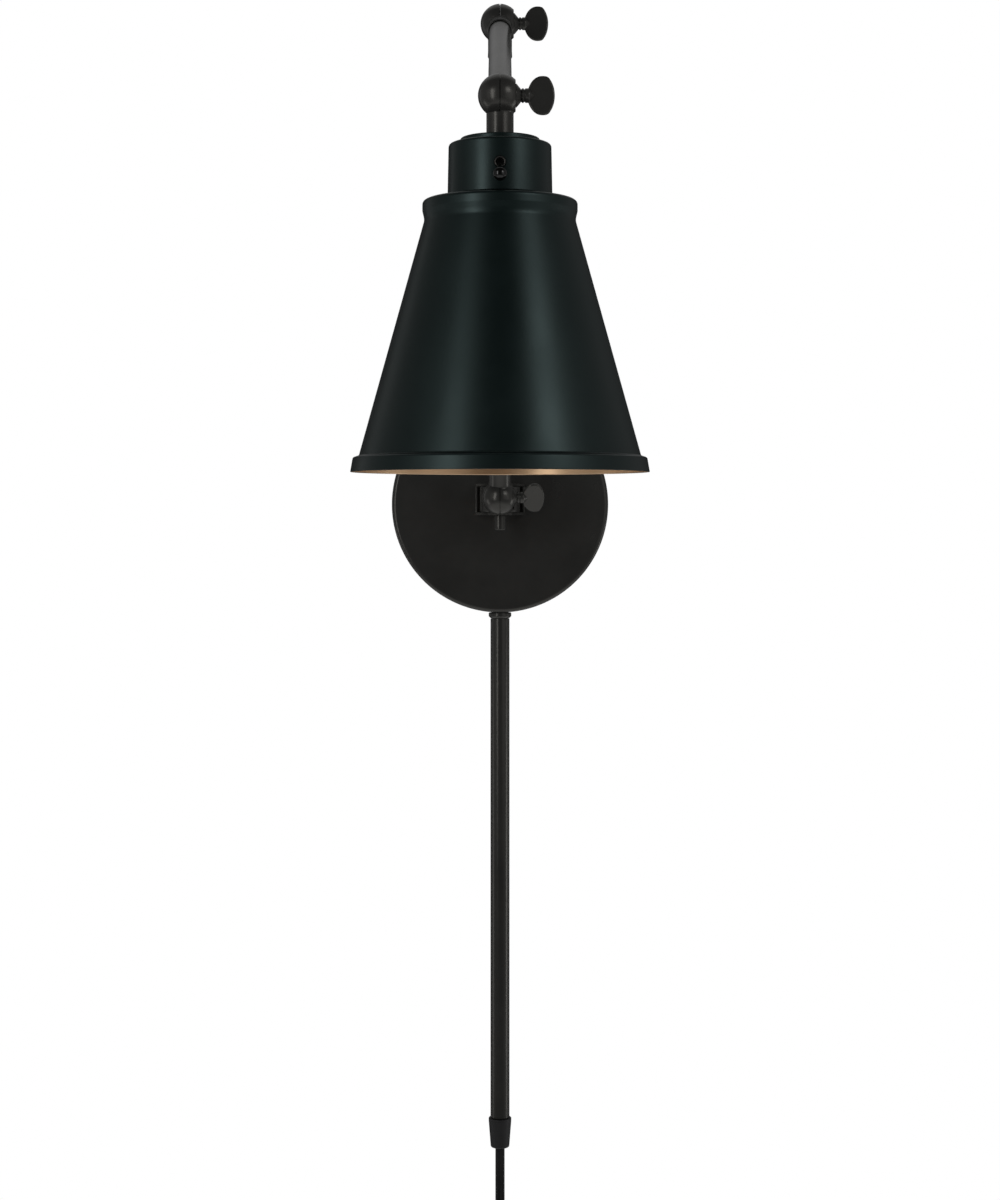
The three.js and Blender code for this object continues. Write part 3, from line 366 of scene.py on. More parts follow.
def softened(name, node, width, steps=2):
    """A copy of a CAD node with its points merged, its flat faces made whole and its edges rounded."""
    mesh = frame["nodes"][node].data.copy()
    mesh.name = name
    shell = bmesh.new()
    shell.from_mesh(mesh)
    bmesh.ops.remove_doubles(shell, verts=shell.verts, dist=same_point)
    bmesh.ops.dissolve_limit(shell, angle_limit=math.radians(1), verts=shell.verts, edges=shell.edges)
    shell.to_mesh(mesh)
    shell.free()
    piece = bpy.data.objects.new(name, mesh)
    bpy.context.scene.collection.objects.link(piece)
    round_edges(piece, width, steps)
    return piece


def round_edges(piece, width, steps=2):
    """Rounds the piece's edges that turn by more than 40 degrees, by the width in millimetres."""
    soft = piece.modifiers.new("edge", "BEVEL")
    soft.width = width * mm
    soft.segments = steps
    soft.limit_method = "ANGLE"
    soft.angle_limit = math.radians(40)
    return piece


zinc_steel = finish("zinc_plated_steel", (0.50, 0.51, 0.53), (0.62, 0.62, 0.61), (0.28, 0.42),
                    metallic=1.0, scales=(900, 5200, 0.3), relief=0.25)
green_screw = finish("green_dyed_zinc", (0.03, 0.20, 0.08), (0.05, 0.27, 0.11), (0.32, 0.45),
                     metallic=0.8, scales=(900, 5200, 0.3), relief=0.25)

for name, node, width in (
        ("wall_strap_bar", "wall_strap", 0.25),
        ("side_screw_left_stud", "side_screw_left", 0.15),
        ("side_screw_right_stud", "side_screw_right", 0.15)):
    part = coated(softened(name, node, width), zinc_steel)
    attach(part, "wall_plate")
    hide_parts(node)

earth = coated(softened("earth_screw_head", "earth_screw", 0.2), green_screw)
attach(earth, "wall_plate")
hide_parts("earth_screw")

# ---------------------------------------------------------------- pivot bracket
# Bent from 1.6 mm steel: a back, two flanges with round tongues and two turned-in side lips. A hollow
# nipple with a nut behind the plate holds it and lets the wires through.


def slab(name, outline, low, high, facing="z"):
    """A solid between two levels with the same flat outline on both: each outline edge carries one side
    face, and the outline itself closes both ends."""
    u, v = np.asarray(outline, float).T
    levels = [np.full(len(u), w, float) for w in (low, high)]
    ways = {"z": lambda w: (u, v, w), "x": lambda w: (w, u, v), "y": lambda w: (u, w, v)}
    points = np.concatenate([np.stack(ways[facing](w), -1) for w in levels])
    here = np.arange(len(u))
    right = np.roll(here, -1)
    sides = np.stack([here, right, right + len(u), here + len(u)], -1).tolist()
    return merged(name, points, [*sides, here[::-1].tolist(), (here + len(u)).tolist()])


joints = {j["name"]: np.array(j["pos_m"]) / mm for j in frame["joints"]}
pivot_y = joints["swing"][1]
bracket_low, bracket_high = box_of("pivot_bracket")
bracket_half = bracket_high[0]
bracket_back = bracket_high[1]
bracket_wall = 1.6
bend_radius = 1.9
pin_hole = 2.95
lip_reach = 3.4
tongue_radius = pivot_y - bracket_low[1]
lip_y = bracket_back - bracket_wall - lip_reach
z0, z1 = bracket_low[2], bracket_high[2]

channel = eased([[bracket_low[1] - 1, z0], [bracket_back, z0], [bracket_back, z1], [bracket_low[1] - 1, z1],
                 [bracket_low[1] - 1, z1 - bracket_wall], [bracket_back - bracket_wall, z1 - bracket_wall],
                 [bracket_back - bracket_wall, z0 + bracket_wall], [bracket_low[1] - 1, z0 + bracket_wall]],
                [0, bend_radius, bend_radius, 0, 0, 0.3, 0.3, 0], closed=True)
bracket = slab("pivot_bracket_channel", channel[:-1], -bracket_half, bracket_half, "x")
turn = np.arctan2(lip_y - pivot_y, bracket_half) - np.arccos(
    tongue_radius / np.hypot(bracket_half, lip_y - pivot_y))
a = np.linspace(math.pi - turn, 2 * math.pi + turn, 64)
tongue = np.stack([tongue_radius * np.cos(a), pivot_y + tongue_radius * np.sin(a)], -1)
ends = np.array([[bracket_half, lip_y], [bracket_half, 0], [-bracket_half, 0], [-bracket_half, lip_y]])
bracket = worked(bracket, slab("trim", np.concatenate([tongue, ends]), z0 - 1, z1 + 1), "INTERSECT")
for x in (-bracket_half, bracket_half - bracket_wall):
    lip = eased([[x, lip_y], [x + bracket_wall, lip_y], [x + bracket_wall, bracket_back - 0.8],
                 [x, bracket_back - 0.8]], [0.6, 0.6, 0, 0], closed=True)
    bracket = worked(bracket, slab("lip", lip[:-1], z0 + 0.5, z1 - 0.5), "UNION")
bracket = drilled(bracket, pin_hole, z0 - 1, z1 + 1, "up", (0, pivot_y, 0))
bracket = drilled(bracket, nipple_hole, -bracket_back - 1, -bracket_back + 4, "front", (0, 0, nipple_z))
round_edges(bracket, 0.22)
coated(bracket, black_metal)
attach(bracket, "wall_plate")
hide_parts("pivot_bracket")

for name, node, width in (
        ("bracket_nipple_tube", "bracket_nipple", 0.25),
        ("nipple_lock_washer", "nipple_washer", 0.1),
        ("nipple_hex_nut", "nipple_nut", 0.4)):
    part = coated(softened(name, node, width), zinc_steel)
    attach(part, "wall_plate")
    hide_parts(node)

pin_low, pin_high = box_of("pivot_pin")
pin_radius = 2.8
head_under = pin_high[2] - 2.2
pin = made("pivot_pin_shank", turned(eased(
    [[0, pin_low[2]], [pin_radius, pin_low[2]], [pin_radius, head_under], [pin_high[0], head_under],
     [pin_high[0], pin_high[2]], [0, pin_high[2]]], [0, 0.3, 0.1, 0.15, 1.1, 0]), at=(0, pivot_y, 0)))
coated(pin, black_metal)
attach(pin, "wall_plate")
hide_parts("pivot_pin")

sleeve_low, sleeve_high = box_of("pivot_nut")
sleeve_floor = sleeve_low[2] + 1.7
sleeve = made("pivot_sleeve_nut", turned(eased(
    [[0, sleeve_low[2]], [sleeve_high[0], sleeve_low[2]], [sleeve_high[0], sleeve_high[2]],
     [pin_radius + 0.25, sleeve_high[2]], [pin_radius + 0.25, sleeve_floor], [0, sleeve_floor]],
    [0, 0.7, 0.3, 0.1, 0.1, 0]), at=(0, pivot_y, 0)))
coated(sleeve, black_metal)
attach(sleeve, "wall_plate")
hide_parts("pivot_nut")

# ---------------------------------------------------------------- ball joints
# Each joint is a cast ball split down the middle. One half belongs to each neighbour, the halves bear on
# each other, and a thumb screw from the right clamps them. The stems carry ferrules for the arm tubes.

ball_radius = 10.45
parting = 0.22
broken_edge = 0.08
register_radius = 9.8
spot_face = 7.4
screw_hole = 2.2
screw_depth = 7.1
stem_radius = 6.45
ferrule_end = 18.5
tube_depth = 6.3
tube_bore = 6.0
root_fillet = 1.3


def stemmed_ball(rest):
    """Profile of a ball with a stem along its axis: the ball's arc from its far pole, a hollow fillet that
    touches both ball and stem, then the given points."""
    reach = ball_radius + root_fillet
    side = stem_radius + root_fillet
    height = math.sqrt(reach ** 2 - side ** 2)
    a = np.linspace(-math.pi / 2, math.atan2(height, side), 48)
    ball = ball_radius * np.stack([np.cos(a), np.sin(a)], -1)
    b = np.linspace(math.atan2(-height, -side), -math.pi, 10)
    fillet = np.array([side, height]) + root_fillet * np.stack([np.cos(b), np.sin(b)], -1)
    return np.concatenate([ball, fillet, rest])


def stood(grid, centre, along):
    """Moves a grid whose own +Z points along the given direction in the YZ plane, to its centre."""
    x, y, z = np.moveaxis(grid, -1, 0)
    forward = np.array([0, along[2], -along[1]])
    return (x[..., None] * np.array([1, 0, 0]) + y[..., None] * forward
            + z[..., None] * np.asarray(along) + centre)


def halved(piece, side, centre, along):
    """Cuts away the other half of the ball and its clearance, drills the screw's hole, faces the right
    half for the screw, and breaks the edge at the parting line. The left half keeps a round register that
    all but reaches the right half, so that the parting line is a groove and not a slit."""
    rim = ball_radius + 0.35
    flat = parting * side
    a = np.linspace(math.asin(parting / rim), -math.pi / 2, 40)
    half_ball = np.stack([rim * np.cos(a), side * rim * np.sin(a)], -1)
    start = [[0, flat]]
    if side < 0:
        start = [[0, parting - 0.02], [register_radius, parting - 0.02], [register_radius, flat]]
    half_ball = np.concatenate([start, half_ball])
    worked(piece, made("half", turned(half_ball, "right", centre, 96)))
    if side > 0:
        far = 30
        level = ball_radius + 1
        square = np.array([[-far, -level], [far, -level], [far, level], [-far, level]])
        worked(piece, slab("face", square + np.asarray(centre)[1:], spot_face, far, "x"))
        drilled(piece, screw_hole, -1, spot_face + 1, "right", centre)
    else:
        drilled(piece, screw_hole, -screw_depth, 1, "right", centre)
    shell = bmesh.new()
    shell.from_mesh(piece.data)
    bmesh.ops.bisect_plane(shell, geom=[*shell.verts, *shell.edges, *shell.faces], dist=1e-7,
                           plane_co=((flat + side * broken_edge) * mm, 0, 0), plane_no=(1, 0, 0))
    shell.to_mesh(piece.data)
    shell.free()
    points = np.empty(len(piece.data.vertices) * 3)
    piece.data.vertices.foreach_get("co", points)
    points = points.reshape(-1, 3)
    arm = points[:, 1:] - np.asarray(centre)[1:] * mm
    reach = np.linalg.norm(arm, axis=1)
    edge = (np.abs(points[:, 0] - flat * mm) < same_point) & (reach > (ball_radius - 0.05) * mm)
    edge &= reach < (ball_radius + 0.05) * mm
    points[edge, 1:] -= broken_edge * mm * (arm / np.maximum(reach, 1e-9)[:, None])[edge]
    piece.data.vertices.foreach_set("co", points.ravel())
    piece.data.update()
    return piece


back_ball, top_ball, front_ball = (joints[n] for n in ("lower_arm_tilt", "upper_arm_tilt", "shade_tilt"))
down = np.array([0.0, 0.0, -1.0])
lower_along = (top_ball - back_ball) / np.linalg.norm(top_ball - back_ball)
upper_along = (front_ball - top_ball) / np.linalg.norm(front_ball - top_ball)
ferrule = np.concatenate([
    eased([[stem_radius, 10], [stem_radius, ferrule_end - 4], [stem_radius + 0.15, ferrule_end - 0.8],
           [stem_radius - 0.3, ferrule_end], [tube_bore, ferrule_end], [tube_bore, ferrule_end - tube_depth],
           [0, ferrule_end - tube_depth]], [0, 0, 0.25, 0.25, 0.12, 0.1, 0])])
for name, node, body, side, centre, along in (
        ("lower_arm_foot_casting", "lower_arm_foot", "lower_arm", 1, back_ball, lower_along),
        ("lower_arm_elbow_casting", "lower_arm_elbow", "lower_arm", -1, top_ball, -lower_along),
        ("upper_arm_elbow_casting", "upper_arm_elbow", "upper_arm", 1, top_ball, upper_along),
        ("upper_arm_wrist_casting", "upper_arm_wrist", "upper_arm", -1, front_ball, -upper_along)):
    casting = made(name, stood(turned(stemmed_ball(ferrule), around=128), centre, along))
    coated(halved(casting, side, centre, along), black_metal)
    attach(casting, body)
    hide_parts(node)

# ---------------------------------------------------------------- swivel knuckle
# The first ball's left half is cast in one with a barrel that turns on the pivot pin between the flanges.

barrel_low, barrel_high = z0 + bracket_wall + 0.3, z1 - bracket_wall - 0.3
barrel_radius = box_of("swivel_knuckle")[1][1] - pivot_y
a = np.linspace(-math.pi / 2, math.pi / 2, 64)
knuckle = made("swivel_knuckle_casting", turned(ball_radius * np.stack([np.cos(a), np.sin(a)], -1),
                                                "right", back_ball, 128))
barrel = eased([[0, barrel_low], [barrel_radius, barrel_low], [barrel_radius, barrel_high], [0, barrel_high]],
               [0, 0.7, 0.7, 0])
worked(knuckle, made("barrel", turned(barrel, at=(0, pivot_y, 0), around=128)), "UNION")
neck_half = 8.3
neck_low, neck_high = barrel_low + 1.2, barrel_high - 1.2
neck = eased([[-neck_half, neck_low], [neck_half, neck_low], [neck_half, neck_high], [-neck_half, neck_high]],
             1.5, closed=True)[:-1]
worked(knuckle, slab("neck", neck, back_ball[1], pivot_y, "y"), "UNION")
halved(knuckle, -1, back_ball, down)
drilled(knuckle, pin_hole, -30, 30, "up", (0, pivot_y, 0))
coated(knuckle, black_metal)
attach(knuckle, "swivel")
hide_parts("swivel_knuckle")

# ---------------------------------------------------------------- arm tubes
# Two lengths of drawn steel tube, pushed into the ferrules at both ends and pinned by their paint.

tube_radius = 5.7
tube_wall = 1.0
for name, node, body, start, end in (
        ("lower_arm_steel_tube", "lower_arm_tube", "lower_arm", back_ball, top_ball),
        ("upper_arm_steel_tube", "upper_arm_tube", "upper_arm", top_ball, front_ball)):
    length = np.linalg.norm(end - start)
    low, high = ferrule_end - 6, length - ferrule_end + 6
    wall = eased([[tube_radius, low], [tube_radius, high], [tube_radius - tube_wall, high],
                  [tube_radius - tube_wall, low]], 0.2, closed=True, steps=3)
    tube = made(name, stood(turned(wall, around=96), start, (end - start) / length))
    coated(tube, black_metal)
    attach(tube, body)
    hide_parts(node)

# ---------------------------------------------------------------- thumb screws
# Turned in one piece with a cone that bears on the ball's flat, two beads on the neck, and a flat
# pressed wing.

screw_seat = spot_face + 0.02
shank_radius = 1.9
shank_tip = -6.6
groove_radius = 2.75
wing_start, wing_end = 13.2, 25.9
wing_height = 18.4
wing_thickness = 2.4
wing_edge = 0.8
neck_radius = 3.4
screw_cone_radius = 6.0


def wing(turn, centre):
    """The wing's closed skin. Its outline is six Bezier arcs, mirrored about the screw's axis: a round
    shoulder, a blunt tip, a shallow end. Rows go from one face's middle out to the rim, where each point
    moves in along the outline's normal by edge (1 - cos b) and across by edge sin b, and back."""
    h, n, l = wing_height / 2, neck_radius - 0.6, wing_end - wing_start
    half = np.array([[[0, n], [0.1 * l, 0.74 * h], [0.28 * l, h], [0.54 * l, h]],
                     [[0.54 * l, h], [0.66 * l, h], [0.76 * l, 0.98 * h], [0.82 * l, 0.84 * h]],
                     [[0.82 * l, 0.84 * h], [0.94 * l, 0.6 * h], [l, 0.32 * h], [l, 0]]])
    arcs = np.concatenate([half, half[::-1, ::-1] * [1, -1]])
    t = np.linspace(0, 1, 20, endpoint=False)[None, :, None]
    p0, p1, p2, p3 = (arcs[:, None, k] for k in range(4))
    line = ((1 - t) ** 3 * p0 + 3 * t * (1 - t) ** 2 * p1 + 3 * t ** 2 * (1 - t) * p2 + t ** 3 * p3)
    line = np.concatenate([line.reshape(-1, 2), arcs[-1, 3:]])
    along = np.roll(line, -1, 0) - np.roll(line, 1, 0)
    along /= np.linalg.norm(along, axis=1)[:, None]
    out = np.stack([-along[:, 1], along[:, 0]], -1)
    middle = np.array([0.55 * l, 0])
    inner = line - out * wing_edge
    face = wing_thickness / 2
    rows = [(middle + (inner - middle) * s, face) for s in (0, 0.3, 0.6, 0.85, 0.97)]
    rows += [(line - out * wing_edge * (1 - math.cos(b)), face - wing_edge * (1 - math.sin(b)))
             for b in np.radians([90, 75, 60, 45, 30, 15, 0])]
    rows += [(flat, -level) for flat, level in rows[::-1]]
    grid = np.stack([np.stack([flat[:, 0] + wing_start, np.full(len(line), level), flat[:, 1]], -1)
                     for flat, level in rows])
    x, y, z = np.moveaxis(grid, -1, 0)
    c, s = math.cos(turn), math.sin(turn)
    return np.stack([x, y * c - z * s, y * s + z * c], -1) + centre


screw_line = eased(
    [[0, shank_tip], [shank_radius, shank_tip], [shank_radius, screw_seat], [screw_cone_radius, screw_seat],
     [neck_radius, screw_seat + 2.2], [groove_radius, screw_seat + 2.6], [neck_radius, screw_seat + 3.0],
     [neck_radius, screw_seat + 3.7], [groove_radius, screw_seat + 4.15], [neck_radius, screw_seat + 4.6],
     [neck_radius, wing_start + 0.6], [1.2, wing_start + 2.8], [0, wing_start + 2.8]],
    [0, 0.4, 0.1, 0.25, 0.4, 0.25, 0.3, 0.3, 0.25, 0.35, 1.2, 0.6, 0])
for name, node, body, centre, turn in (
        ("back_thumb_screw", "thumb_screw_back", "back_screw", back_ball, 30),
        ("top_thumb_screw", "thumb_screw_top", "top_screw", top_ball, 0),
        ("front_thumb_screw", "thumb_screw_front", "front_screw", front_ball, 0)):
    screw = made(name, turned(screw_line, "right", centre, 64))
    worked(screw, made("wing", wing(math.radians(turn), centre)), "UNION")
    coated(screw, black_metal)
    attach(screw, body)
    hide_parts(node)

# ---------------------------------------------------------------- lamp head stem, disc and cup
# The front ball's right half hangs the head on a short stem. Its threaded end goes through a thin disc and
# the spun cup, and a hex nut inside pulls them together. The cup and the shade have the greener black.

stem_low = box_of("shade_stem")[0][2]
disc_low, disc_high = box_of("stem_disc")
cup_low, cup_high = box_of("socket_cup")
head_y = front_ball[1]
drop = front_ball[2] - disc_high[2]
end = front_ball[2] - stem_low
spigot_radius = 4.7
wire_bore = 2.6
bore_start = 14.4
stem_rest = eased([[stem_radius, 10], [stem_radius, drop - 0.3], [spigot_radius, drop - 0.3],
                   [spigot_radius, end], [wire_bore, end], [wire_bore, bore_start], [0, bore_start]],
                  [0, 0.3, 0.1, 0.4, 0.2, 0.1, 0])
stem = made("shade_stem_casting", stood(turned(stemmed_ball(stem_rest), around=128), front_ball, down))
coated(halved(stem, 1, front_ball, down), black_metal)
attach(stem, "lamp_head")
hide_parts("shade_stem")

shade_black = finish("matte_black_green_cast", (0.0022, 0.0056, 0.0054), (0.0034, 0.0076, 0.0073),
                     (0.34, 0.40), tint=(0.74, 1.0, 0.99), scales=(500, 3400, 0.45), relief=0.3)
spigot_hole = 5.0
disc = made("stem_disc_washer", turned(eased(
    [[disc_high[0], disc_low[2]], [disc_high[0], disc_high[2]], [spigot_hole, disc_high[2]],
     [spigot_hole, disc_low[2]]], [0.3, 0.8, 0.1, 0.1], closed=True), at=(0, head_y, 0), around=160))
coated(disc, shade_black)
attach(disc, "lamp_head")
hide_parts("stem_disc")

cup_wall = 1.2
switch_hole = 2.9
cup_top_radius, cup_bottom_radius = 24.3, cup_high[0]
cup_top, cup_bottom = cup_high[2], cup_low[2]
switch_at = joints["switch_flip"]
cup = made("socket_cup_shell", turned(eased(
    [[spigot_hole, cup_top], [cup_top_radius, cup_top], [cup_bottom_radius, cup_bottom],
     [cup_bottom_radius - cup_wall, cup_bottom], [cup_top_radius - cup_wall, cup_top - cup_wall],
     [spigot_hole, cup_top - cup_wall]], [0.1, 1.6, 0.4, 0.2, 0.6, 0.1], closed=True),
    at=(0, head_y, 0), around=192))
drilled(cup, switch_hole, cup_top_radius - 8, cup_top_radius + 4, "front", (0, head_y, switch_at[2]))
coated(cup, shade_black)
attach(cup, "lamp_head")
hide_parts("socket_cup")

nut = coated(softened("stem_hex_nut", "stem_nut", 0.4), zinc_steel)
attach(nut, "lamp_head")
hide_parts("stem_nut")

# ---------------------------------------------------------------- lamp holder
# A moulded phenolic holder on the stem's end, with an outside thread for the shade ring, a rolled brass
# screw shell and a brass centre contact.


def threaded(radius, depth, pitch, low, high, at, around=96, rows_per_turn=12):
    """A right-hand thread: at height h and angle a the radius is radius - depth (1 - cos(2 pi h / pitch
    - a)) / 2, faded out over the first and last half turn."""
    h = np.linspace(low, high, int((high - low) / pitch * rows_per_turn) + 2)[:, None]
    a = np.linspace(0, 2 * math.pi, around, endpoint=False)[None]
    fade = np.clip(np.minimum(h - low, high - h) / (0.5 * pitch), 0, 1)
    r = radius - fade * depth * (1 - np.cos(2 * math.pi * h / pitch - a)) / 2
    return np.stack([r * np.cos(a), r * np.sin(a), np.broadcast_to(h, r.shape)], -1) + at


black_plastic = finish("moulded_black_plastic", (0.010, 0.010, 0.011), (0.016, 0.016, 0.017), (0.42, 0.55),
                       scales=(400, 2600, 0.3), relief=0.4)
brass = finish("drawn_brass", (0.62, 0.44, 0.17), (0.74, 0.55, 0.26), (0.20, 0.34), metallic=1.0,
               scales=(900, 5200, 0.3), relief=0.2)
holder_low, holder_high = box_of("lamp_holder")
holder_radius = holder_high[0]
holder_bore = 14.5
wire_hole = 2
cap_radius = 8.5
shoulder = holder_low[2] + 38
ring_low, ring_high = box_of("shade_ring")
axis_at = (0, head_y, 0)
top_line = eased([[wire_hole, shoulder - 4], [wire_hole, holder_high[2]], [cap_radius, holder_high[2]],
                  [cap_radius, shoulder], [holder_radius, shoulder], [holder_radius, ring_high[2] + 3]],
                 [0, 0.3, 0.8, 0.6, 1.0, 0])
low_line = eased([[holder_radius, holder_low[2] + 1], [holder_radius, holder_low[2]],
                  [holder_bore, holder_low[2]], [holder_bore, shoulder - 4], [wire_hole, shoulder - 4]],
                 [0, 0.5, 0.5, 0.3, 0])
holder = made("lamp_holder_moulding", np.concatenate([
    turned(top_line, at=axis_at),
    threaded(holder_radius, 0.45, 2.4, holder_low[2] + 1, ring_high[2] + 3, axis_at)[::-1],
    turned(low_line, at=axis_at)]))
coated(holder, black_plastic)
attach(holder, "lamp_head")
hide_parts("lamp_holder")

shell_low, shell_high = box_of("screw_shell")
shell_sheet = 0.3
thread_depth, thread_pitch = 0.55, 3.62
contact_hole = 6.5
outside = threaded(shell_high[0], thread_depth, thread_pitch, shell_low[2], shell_high[2], axis_at)
inside = threaded(shell_high[0] - shell_sheet, thread_depth, thread_pitch, shell_low[2],
                  shell_high[2] - shell_sheet, axis_at)
rim_hole = turned([[contact_hole, shell_high[2]], [contact_hole, shell_high[2] - shell_sheet]], at=axis_at)
shell_piece = made("screw_shell_brass", np.concatenate([outside, rim_hole, inside[::-1], outside[:1]]))
coated(shell_piece, brass)
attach(shell_piece, "lamp_head")
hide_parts("screw_shell")

contact_low, contact_high = box_of("centre_contact")
contact = made("centre_contact_brass", turned(eased(
    [[0, contact_low[2]], [2.4, contact_low[2]], [3.4, contact_low[2] + 1.6], [3.4, contact_high[2]],
     [0, contact_high[2]]], [0, 0.8, 0.4, 0.2, 0]), at=axis_at, around=48))
coated(contact, brass)
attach(contact, "lamp_head")
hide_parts("centre_contact")

# ---------------------------------------------------------------- shade
# Spun steel cone with a band at the top, a waist under it and a stepped rim. Matte black outside, gold
# paint inside; a fluted ring on the lamp holder's thread clamps its top.

shade_low, shade_high = box_of("shade")
shade_top, shade_bottom = shade_high[2], shade_low[2]
rim_radius = shade_high[0]
top_radius, waist_radius, cone_radius = 36.7, 35.7, 66.6
sheet = 1.0
band = 5.0
waist_drop = 9.2
rim_band = 6.8
shade_hole = holder_radius + 0.3
outer = eased(
    [[shade_hole, shade_top - sheet / 2], [shade_hole, shade_top],
     [top_radius, shade_top], [top_radius, shade_top - band],
     [waist_radius, shade_top - waist_drop], [cone_radius, shade_bottom + rim_band + 1],
     [rim_radius - 1.2, shade_bottom + rim_band], [rim_radius, shade_bottom],
     [rim_radius - 0.6, shade_bottom]],
    [0, 0.1, 2.0, 1.4, 6.0, 0.8, 1.2, 0.3, 0])
inner = eased(
    [[rim_radius - 0.6, shade_bottom], [rim_radius - 1.4 - sheet, shade_bottom],
     [rim_radius - 1.8 - sheet, shade_bottom + rim_band - sheet],
     [cone_radius - sheet, shade_bottom + rim_band + 1 - sheet],
     [waist_radius - sheet, shade_top - waist_drop - 0.4], [top_radius - sheet, shade_top - band + 0.6],
     [top_radius - sheet, shade_top - sheet], [shade_hole, shade_top - sheet],
     [shade_hole, shade_top - sheet / 2]],
    [0, 0.3, 1.0, 0.8, 5.0, 1.0, 1.2, 0.1, 0])
gold_inside = finish("gold_paint", (0.82, 0.56, 0.34), (0.90, 0.66, 0.43), (0.30, 0.40), metallic=0.85,
                     scales=(500, 4200, 0.35), relief=0.3)
shade = made("spun_shade", turned(outer, at=axis_at, around=288), turned(inner, at=axis_at, around=288))
coated(shade, shade_black, gold_inside)
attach(shade, "lamp_head")
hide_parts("shade")

ring_body = 18.9
ring_line = eased([[shade_hole, ring_high[2]], [ring_high[0], ring_high[2]], [ring_high[0], ring_high[2] - 2],
                   [ring_body, ring_high[2] - 2.4], [ring_body, ring_low[2]], [shade_hole, ring_low[2]]],
                  [0.2, 0.5, 0.5, 0.4, 0.5, 0.3], closed=True)
ring_grid = turned(ring_line, at=axis_at, around=240)
flat = ring_grid - axis_at
reach = np.hypot(flat[..., 0], flat[..., 1])
fluted = reach > ring_body - 0.9
flute_depth = 0.45
flute = flute_depth * np.abs(np.sin(12 * np.arctan2(flat[..., 1], flat[..., 0]))) ** 0.6 * fluted
flat[..., :2] *= (1 - (flute_depth - flute) * fluted / reach)[..., None]
ring = made("shade_clamp_ring", flat + axis_at)
coated(ring, black_plastic)
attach(ring, "lamp_head")
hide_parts("shade_ring")

# ---------------------------------------------------------------- switch
# A toggle switch inside the cup: a moulded body, a turned bushing through the cup's side, and a lever that
# ends in a small ball and hangs down when the lamp is off.

switch_body = coated(softened("switch_moulding", "switch_body", 0.6, 3), black_plastic)
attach(switch_body, "lamp_head")
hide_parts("switch_body")

bushing_low, bushing_high = box_of("switch_bushing")
near, far = head_y - bushing_low[1], head_y - bushing_high[1]
bushing_bore, bushing_radius = 1.9, 2.6
bushing = made("switch_bushing_ring", turned(eased(
    [[bushing_bore, far], [bushing_radius, far], [bushing_radius, near], [bushing_bore, near]],
    [0.1, 0.1, 0.45, 0.3], closed=True),
    "front", (0, head_y, switch_at[2]), 64))
coated(bushing, black_metal)
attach(bushing, "lamp_head")
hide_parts("switch_bushing")

lever_length = 14.4
lever_ball = 3.3
lever_tilt = math.radians(38)
lever_along = np.array([0, -math.cos(lever_tilt), -math.sin(lever_tilt)])
bat = eased([[0, -0.6], [0.7, -0.6], [0.9, 2], [1.4, 7.2], [2.7, 9.6], [lever_ball, 11.1]],
            [0, 0.2, 0.5, 1.5, 1.5, 0])
a = np.linspace(0, math.pi / 2, 16)
tip = np.stack([lever_ball * np.cos(a), lever_length - lever_ball + lever_ball * np.sin(a)], -1)
bat = np.concatenate([bat[:-1], tip])
switch_enamel = finish("gloss_black_enamel", (0.0020, 0.0022, 0.0021), (0.0030, 0.0032, 0.0031), (0.10, 0.16),
                       scales=(900, 4200, 0.5), relief=0.1)
lever = made("switch_bat_lever", stood(turned(bat, around=48), switch_at, lever_along))
coated(lever, switch_enamel)
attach(lever, "lever")
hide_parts("switch_lever")

# ---------------------------------------------------------------- cord cover
# A threaded coupling hangs a straight steel tube under the plate, with a nut inside the pan. A tapered
# rubber bushing closes the tube's lower end round the lead.

coupling_low, coupling_high = box_of("tube_coupling")
cover_low, cover_high = box_of("cord_cover_tube")
cover_radius = cover_high[0]
cover_wall = 0.9
cover_at = (0, cover_axis_y, 0)
collar_radius = coupling_high[0]
collar_top = -plate_radius - 0.3
coupling_bore = cover_radius - cover_wall - 0.3
coupling = made("tube_coupling_collar", turned(eased(
    [[coupling_bore - 1, coupling_high[2]], [coupling_bore, coupling_high[2]], [coupling_bore, collar_top],
     [collar_radius, collar_top], [collar_radius, collar_top - 2.2], [cover_radius, cover_high[2] + 0.3],
     [coupling_bore, cover_high[2] + 0.3], [coupling_bore, coupling_low[2]],
     [coupling_bore - 1, coupling_low[2]]],
    [0.2, 0.2, 0.1, 0.5, 0.6, 0.3, 0.1, 0.2, 0.2], closed=True), at=cover_at))
coated(coupling, black_metal)
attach(coupling, "wall_plate")
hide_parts("tube_coupling")

coupling_nut = coated(softened("coupling_hex_nut", "coupling_nut", 0.35), zinc_steel)
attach(coupling_nut, "wall_plate")
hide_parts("coupling_nut")

cover = made("cord_cover_steel_tube", turned(eased(
    [[cover_radius, cover_low[2]], [cover_radius, cover_high[2]], [cover_radius - cover_wall, cover_high[2]],
     [cover_radius - cover_wall, cover_low[2]]], 0.25, closed=True, steps=4), at=cover_at, around=128))
coated(cover, black_metal)
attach(cover, "wall_plate")
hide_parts("cord_cover_tube")

